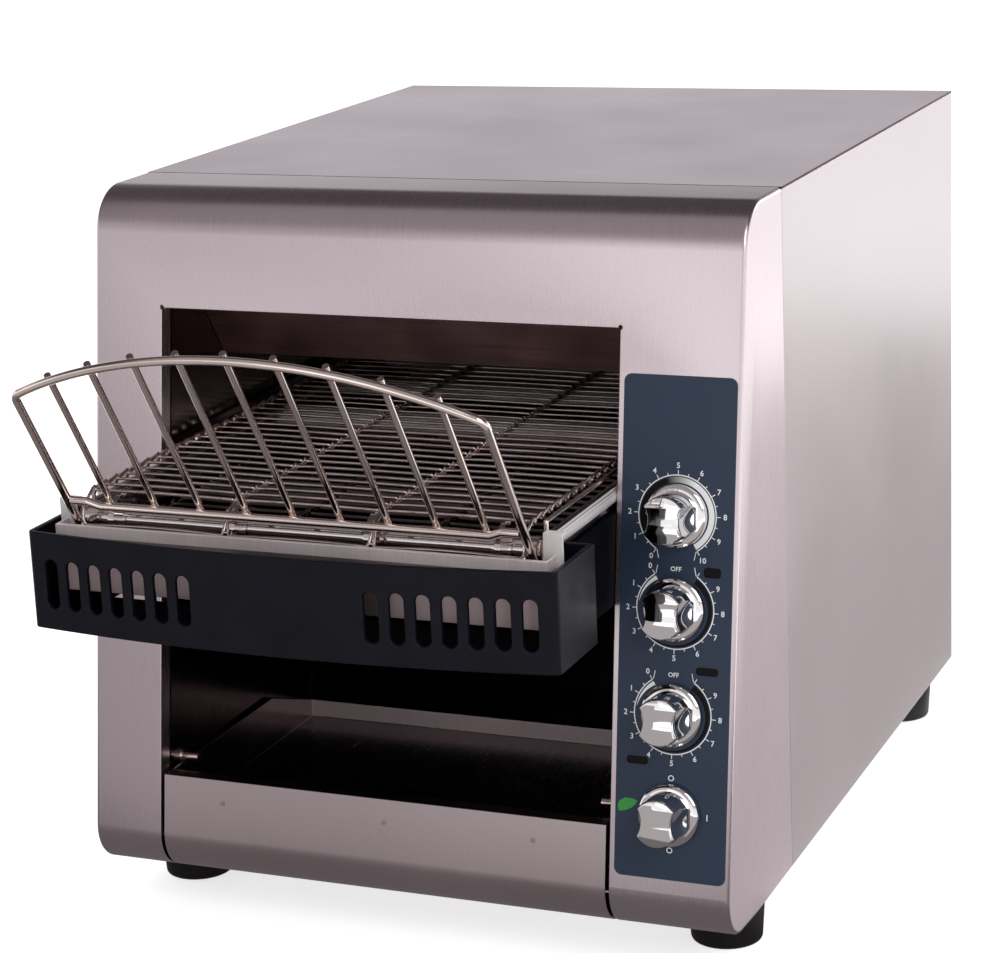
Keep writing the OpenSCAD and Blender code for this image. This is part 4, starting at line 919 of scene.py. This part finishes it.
def addScaleMarks(marks, spec):
    first, last, turn = spec["first"], spec["last"], spec["turn"]
    step = (last - first) / 10
    addBand(marks, lambda t: dials["ring"][0], lambda t: dials["ring"][1], first, last, dials["ringSteps"])
    for i in range(21):
        reach = dials["major"] if i % 2 == 0 else dials["minor"]
        a = first + step * i / 2
        addBar(marks, polar(reach[0], a), polar(reach[1], a), dials["markWidth"])
    for i in range(11):
        if i < 10 or not spec["boxes"]:
            radius = dials["labelRadius"] + (dials["lastLabelOut"] if i == 10 else 0)
            addText(marks, str(i), polar(radius, first + step * i), dials["digit"])
    curl = dials["curl"]
    for a, out in ((first, -turn), (last, turn)):
        ends = [polar(radius, a + out * past) for radius, past in (curl["start"], curl["end"])]
        addBar(marks, ends[0], ends[1], curl["width"])
    if turn < 0:
        wedge = dials["wedge"]
        addText(marks, "OFF", (0, dials["offHeight"]), dials["offSize"])
        addBand(marks, lambda t: wedge["inner"] - wedge["swell"] * (1 - t), lambda t: wedge["outer"],
                first, first - wedge["turn"], wedge["steps"])


def addShadedBand(bands, shade, spec):
    if spec["turn"] > 0:
        band = dials["speedBand"]
        addBand(bands, lambda t: band["inner"], lambda t: band["outer"], spec["first"], spec["last"],
                band["steps"], shade, lambda t: (t - band["whiteFrom"]) / band["whiteOver"])
    else:
        band = dials["heatBand"]
        addBand(bands, lambda t: band["inner"] - band["swell"] * (1 - t) ** band["power"],
                lambda t: band["outer"], band["from"], band["to"], band["steps"], shade)


def makeScale(name, height, spec):
    marks, _ = startDial()
    addScaleMarks(marks, spec)
    finishDial(marks, height, name + "Marks", "dialWhite")
    bands, shade = startDial()
    addShadedBand(bands, shade, spec)
    for centre, size in spec["boxes"]:
        addBox(bands, shade, centre, size)
    finishDial(bands, height, name + "Band", "dialShade")


makeScale("speed", knobs["heights"]["speed"], dials["speed"])
makeScale("topHeat", knobs["heights"]["top_heat"], dials["topHeat"])
makeScale("bottomHeat", knobs["heights"]["bottom_heat"], dials["bottomHeat"])


powerMarks = {
    "letters": [("O", (0, 18.6), 4.3), ("I", (19.6, 0), 4.6), ("O", (0, -18.9), 4.3)],
    "leaf": [(-27.6, -0.9), (-24.4, -0.4), (-21.0, 1.2), (-18.9, 3.2), (-17.7, 5.2), (-20.9, 6.2),
             (-24.8, 6.2), (-27.7, 4.2), (-28.4, 1.4)],
}


def makePowerMarks(spec, height):
    marks, _ = startDial()
    for words, at, size in spec["letters"]:
        addText(marks, words, at, size)
    finishDial(marks, height, "powerMarks", "dialWhite")
    leaf, _ = startDial()
    loft(leaf, [[(x, y, up) for x, y in spec["leaf"]] for up in dials["ink"]])
    finishDial(leaf, height, "savingMark", "dialGreen")


makePowerMarks(powerMarks, knobs["heights"]["power"])
print("dials ready")


def newTree(name, inputs):
    tree = bpy.data.node_groups.new(name, "GeometryNodeTree")
    tree.interface.new_socket("Geometry", in_out="INPUT", socket_type="NodeSocketGeometry")
    for label, kind in inputs:
        tree.interface.new_socket(label, in_out="INPUT", socket_type=kind)
    tree.interface.new_socket("Geometry", in_out="OUTPUT", socket_type="NodeSocketGeometry")
    return tree, tree.nodes.new("NodeGroupInput"), tree.nodes.new("NodeGroupOutput")


def runTree(tree, base, values, name):
    holder = holderOf(base)
    build = holder.modifiers.new("build", "NODES")
    build.node_group = tree
    for item in tree.interface.items_tree:
        if item.in_out == "INPUT" and item.name in values:
            build[item.identifier] = values[item.name]
    return bakedMesh(holder, name)


belt = {  # millimetres
    "rows": 92,
    "pitch": 11.1,
    "wireRadius": 0.9,
    "wrapRadius": 14.503,
    "frontY": -165.0,
    "shaftZ": 222.0,
    "halfWidth": 121.0,
    "hookAt": 40.0,
    "hookHalf": 2.2,
    "eyeLength": 4.2,
    "sag": 1.1,
    "midSag": 0.7,  # the middle stretch's share of the sag
    "gap": 0.02,
    "turnSteps": 48,
    "wireSides": 6,
    "underBelow": 0.246,  # metres, where the lower run begins
}


def beltPath(spec):
    reach = spec["rows"] * spec["pitch"] / 2 - math.pi * spec["wrapRadius"]
    front, rear = spec["frontY"], spec["frontY"] + reach
    points = []
    for centre, start in ((rear, 90.0), (front, -90.0)):
        for i in range(spec["turnSteps"] + 1):
            a = math.radians(start - 180.0 * i / spec["turnSteps"])
            points.append((centre + spec["wrapRadius"] * math.cos(a),
                           spec["shaftZ"] + spec["wrapRadius"] * math.sin(a)))
    corners = [place(casing["laneX"], y / 1000, z / 1000) for y, z in points]
    mesh = bpy.data.meshes.new("beltPath")
    mesh.from_pydata(corners, [(i, (i + 1) % len(corners)) for i in range(len(corners))], [])
    return mesh


def beltWireLine(spec):
    # one cross wire, with a hook round its neighbour at each side of the middle and an eye at each end
    pitch, half, hook = spec["pitch"], spec["halfWidth"], spec["hookAt"]
    wrap = 2 * spec["wireRadius"] + spec["gap"]
    inner, outer = hook - spec["hookHalf"], hook + spec["hookHalf"]
    right = []
    for i in range(6):
        x = inner * i / 5
        right.append((x, spec["sag"] * spec["midSag"] * (1 - (x / inner) ** 2), 0))
    bend = [(1.5, 0.7, -0.5), (1.1, pitch * 0.3, -wrap * 0.8), (0.9, pitch - 0.6, -wrap * 1.1),
            (0.6, pitch + wrap * 0.75, -0.9)]
    right += [(hook - x, y, z) for x, y, z in bend] + [(hook, pitch + wrap * 0.95, 0.6)]
    right += [(hook + x, y, z) for x, y, z in reversed(bend)]
    for i in range(9):
        t = i / 8
        right.append((outer + (half - spec["eyeLength"] - hook) * t, spec["sag"] * math.sin(math.pi * t), 0))
    right += [(half - 0.9, 1.0, 0.1), (half - 0.3, 3.2, 0.5), (half - 0.3, pitch - 2.2, wrap * 0.75),
              (half - 0.2, pitch, wrap), (half - 0.1, pitch + wrap, 0), (half, pitch, -wrap),
              (half, pitch - wrap * 0.9, -0.8)]
    points = [(-x, y, z) for x, y, z in reversed(right[1:])] + right
    corners = [Vector(point) / 1000 for point in points]
    mesh = bpy.data.meshes.new("beltWireLine")
    mesh.from_pydata(corners, [(i, i + 1) for i in range(len(corners) - 1)], [])
    return mesh


def addMath(tree, kind, operation):
    node = tree.nodes.new(kind)
    node.operation = operation
    return node


def finishTree(tree, groupIn, groupOut, lastNode):
    paint = tree.nodes.new("GeometryNodeSetMaterial")
    link(tree, lastNode, "Geometry", paint, "Geometry")
    link(tree, groupIn, "Finish", paint, "Material")
    link(tree, paint, "Geometry", groupOut, "Geometry")


def bendRound(tree, path, flat):
    # bends what lies flat along y round a closed path, its z pointing out of the path
    new = tree.nodes.new
    pathLength, sample = new("GeometryNodeCurveLength"), new("GeometryNodeSampleCurve")
    at, split = new("GeometryNodeInputPosition"), new("ShaderNodeSeparateXYZ")
    aside, bend = new("ShaderNodeCombineXYZ"), new("GeometryNodeSetPosition")
    along = addMath(tree, "ShaderNodeMath", "WRAP")
    outward = addMath(tree, "ShaderNodeVectorMath", "CROSS_PRODUCT")
    lift = addMath(tree, "ShaderNodeVectorMath", "SCALE")
    raised, moved = (addMath(tree, "ShaderNodeVectorMath", "ADD") for _ in range(2))
    sample.mode = "LENGTH"
    along.inputs[2].default_value = 0.0
    outward.inputs[0].default_value = (1, 0, 0)
    for fromNode, fromSocket, toNode, toSocket in (
            (path, "Curve", pathLength, "Curve"), (path, "Curve", sample, "Curves"),
            (at, "Position", split, "Vector"), (split, "Y", along, 0), (pathLength, "Length", along, 1),
            (along, 0, sample, "Length"), (sample, "Tangent", outward, 1),
            (outward, "Vector", lift, "Vector"), (split, "Z", lift, "Scale"), (split, "X", aside, "X"),
            (sample, "Position", raised, 0), (lift, "Vector", raised, 1),
            (raised, "Vector", moved, 0), (aside, "Vector", moved, 1),
            (flat, "Geometry", bend, "Geometry"), (moved, "Vector", bend, "Position")):
        link(tree, fromNode, fromSocket, toNode, toSocket)
    return bend


def beltTree():
    tree, groupIn, groupOut = newTree("beltRows", [
        ("Wire", "NodeSocketObject"), ("Rows", "NodeSocketInt"), ("Pitch", "NodeSocketFloat"),
        ("Wire radius", "NodeSocketFloat"), ("Finish", "NodeSocketMaterial")])
    new = tree.nodes.new
    line, spacing = new("GeometryNodeMeshLine"), new("ShaderNodeCombineXYZ")
    link(tree, groupIn, "Rows", line, "Count")
    link(tree, groupIn, "Pitch", spacing, "Y")
    link(tree, spacing, "Vector", line, "Offset")
    wire, wireCurve = new("GeometryNodeObjectInfo"), new("GeometryNodeMeshToCurve")
    circle, tube = new("GeometryNodeCurvePrimitiveCircle"), new("GeometryNodeCurveToMesh")
    soft, rows = new("GeometryNodeSetShadeSmooth"), new("GeometryNodeInstanceOnPoints")
    real, path = new("GeometryNodeRealizeInstances"), new("GeometryNodeMeshToCurve")
    circle.inputs["Resolution"].default_value = belt["wireSides"]
    tube.inputs["Fill Caps"].default_value = True
    link(tree, groupIn, "Wire", wire, "Object")
    link(tree, wire, "Geometry", wireCurve, "Mesh")
    link(tree, groupIn, "Wire radius", circle, "Radius")
    link(tree, wireCurve, "Curve", tube, "Curve")
    link(tree, circle, "Curve", tube, "Profile Curve")
    link(tree, tube, "Mesh", soft, "Geometry")
    link(tree, line, "Mesh", rows, "Points")
    link(tree, soft, "Geometry", rows, "Instance")
    link(tree, rows, "Instances", real, "Geometry")
    link(tree, groupIn, "Geometry", path, "Mesh")
    finishTree(tree, groupIn, groupOut, bendRound(tree, path, real))
    return tree


wireHolder = holderOf(beltWireLine(belt))
beltMesh = runTree(beltTree(), beltPath(belt), {
    "Wire": wireHolder, "Rows": belt["rows"], "Pitch": belt["pitch"] / 1000,
    "Wire radius": belt["wireRadius"] / 1000, "Finish": finishes["beltWire"]}, "beltLinks")
bpy.data.objects.remove(wireHolder)
beltPiece = newPiece("beltLinks", beltMesh, "beltWire", "casing", ["wire_belt"])
# painted shade: the belt's lower run takes the dark copy of the wire finish
paintRegion(beltPiece, "beltShadedUnder", lambda at, way: at.z < belt["underBelow"])
print("belt ready:", len(beltMesh.polygons), "faces")


rack = {  # millimetres
    "y": -177.5,
    "z": 221.5,
    "lean": math.radians(32.6),
    "half": 124.3,
    "leg": 93.4,
    "arch": 32.0,
    "hoopRadius": 2.2,
    "wires": 9,
    "spread": 1.05,
    "rodUp": 14.5,
    "weldRadius": 1.5,
    "weldScale": (1.25, 1.25, 0.85),
}


def rackPoint(x, back, up):
    sine, cosine = math.sin(rack["lean"]), math.cos(rack["lean"])
    return place(casing["laneX"] + x / 1000, (rack["y"] + back * cosine - up * sine) / 1000,
                 (rack["z"] + back * sine + up * cosine) / 1000)


def weldTree():
    tree, groupIn, groupOut = newTree("welds", [
        ("Radius", "NodeSocketFloat"), ("Finish", "NodeSocketMaterial")])
    new = tree.nodes.new
    blob, soft = new("GeometryNodeMeshIcoSphere"), new("GeometryNodeSetShadeSmooth")
    spots, real = new("GeometryNodeInstanceOnPoints"), new("GeometryNodeRealizeInstances")
    blob.inputs["Subdivisions"].default_value = 2
    spots.inputs["Scale"].default_value = rack["weldScale"]
    link(tree, groupIn, "Radius", blob, "Radius")
    link(tree, blob, "Mesh", soft, "Geometry")
    link(tree, groupIn, "Geometry", spots, "Points")
    link(tree, soft, "Geometry", spots, "Instance")
    link(tree, spots, "Instances", real, "Geometry")
    finishTree(tree, groupIn, groupOut, real)
    return tree


def makeWelds():
    gap = (rack["half"] - rack["hoopRadius"]) * 2 / (rack["wires"] + 1) * rack["spread"]
    archRadius = (rack["half"] ** 2 + rack["arch"] ** 2) / (2 * rack["arch"])
    spots = []
    for i in range(rack["wires"]):
        x = (i - (rack["wires"] - 1) / 2) * gap
        top = rack["leg"] + math.sqrt(archRadius ** 2 - x * x) - (archRadius - rack["arch"])
        spots += [rackPoint(x, rack["hoopRadius"], top), rackPoint(x, rack["hoopRadius"], rack["rodUp"])]
    mesh = bpy.data.meshes.new("weldSpots")
    mesh.from_pydata(spots, [], [])
    mesh = runTree(weldTree(), mesh, {
        "Radius": rack["weldRadius"] / 1000, "Finish": finishes["weld"]}, "rackWelds")
    newPiece("rackWelds", mesh, "weld", "wire_rack")


makeWelds()
print("rack welds ready")
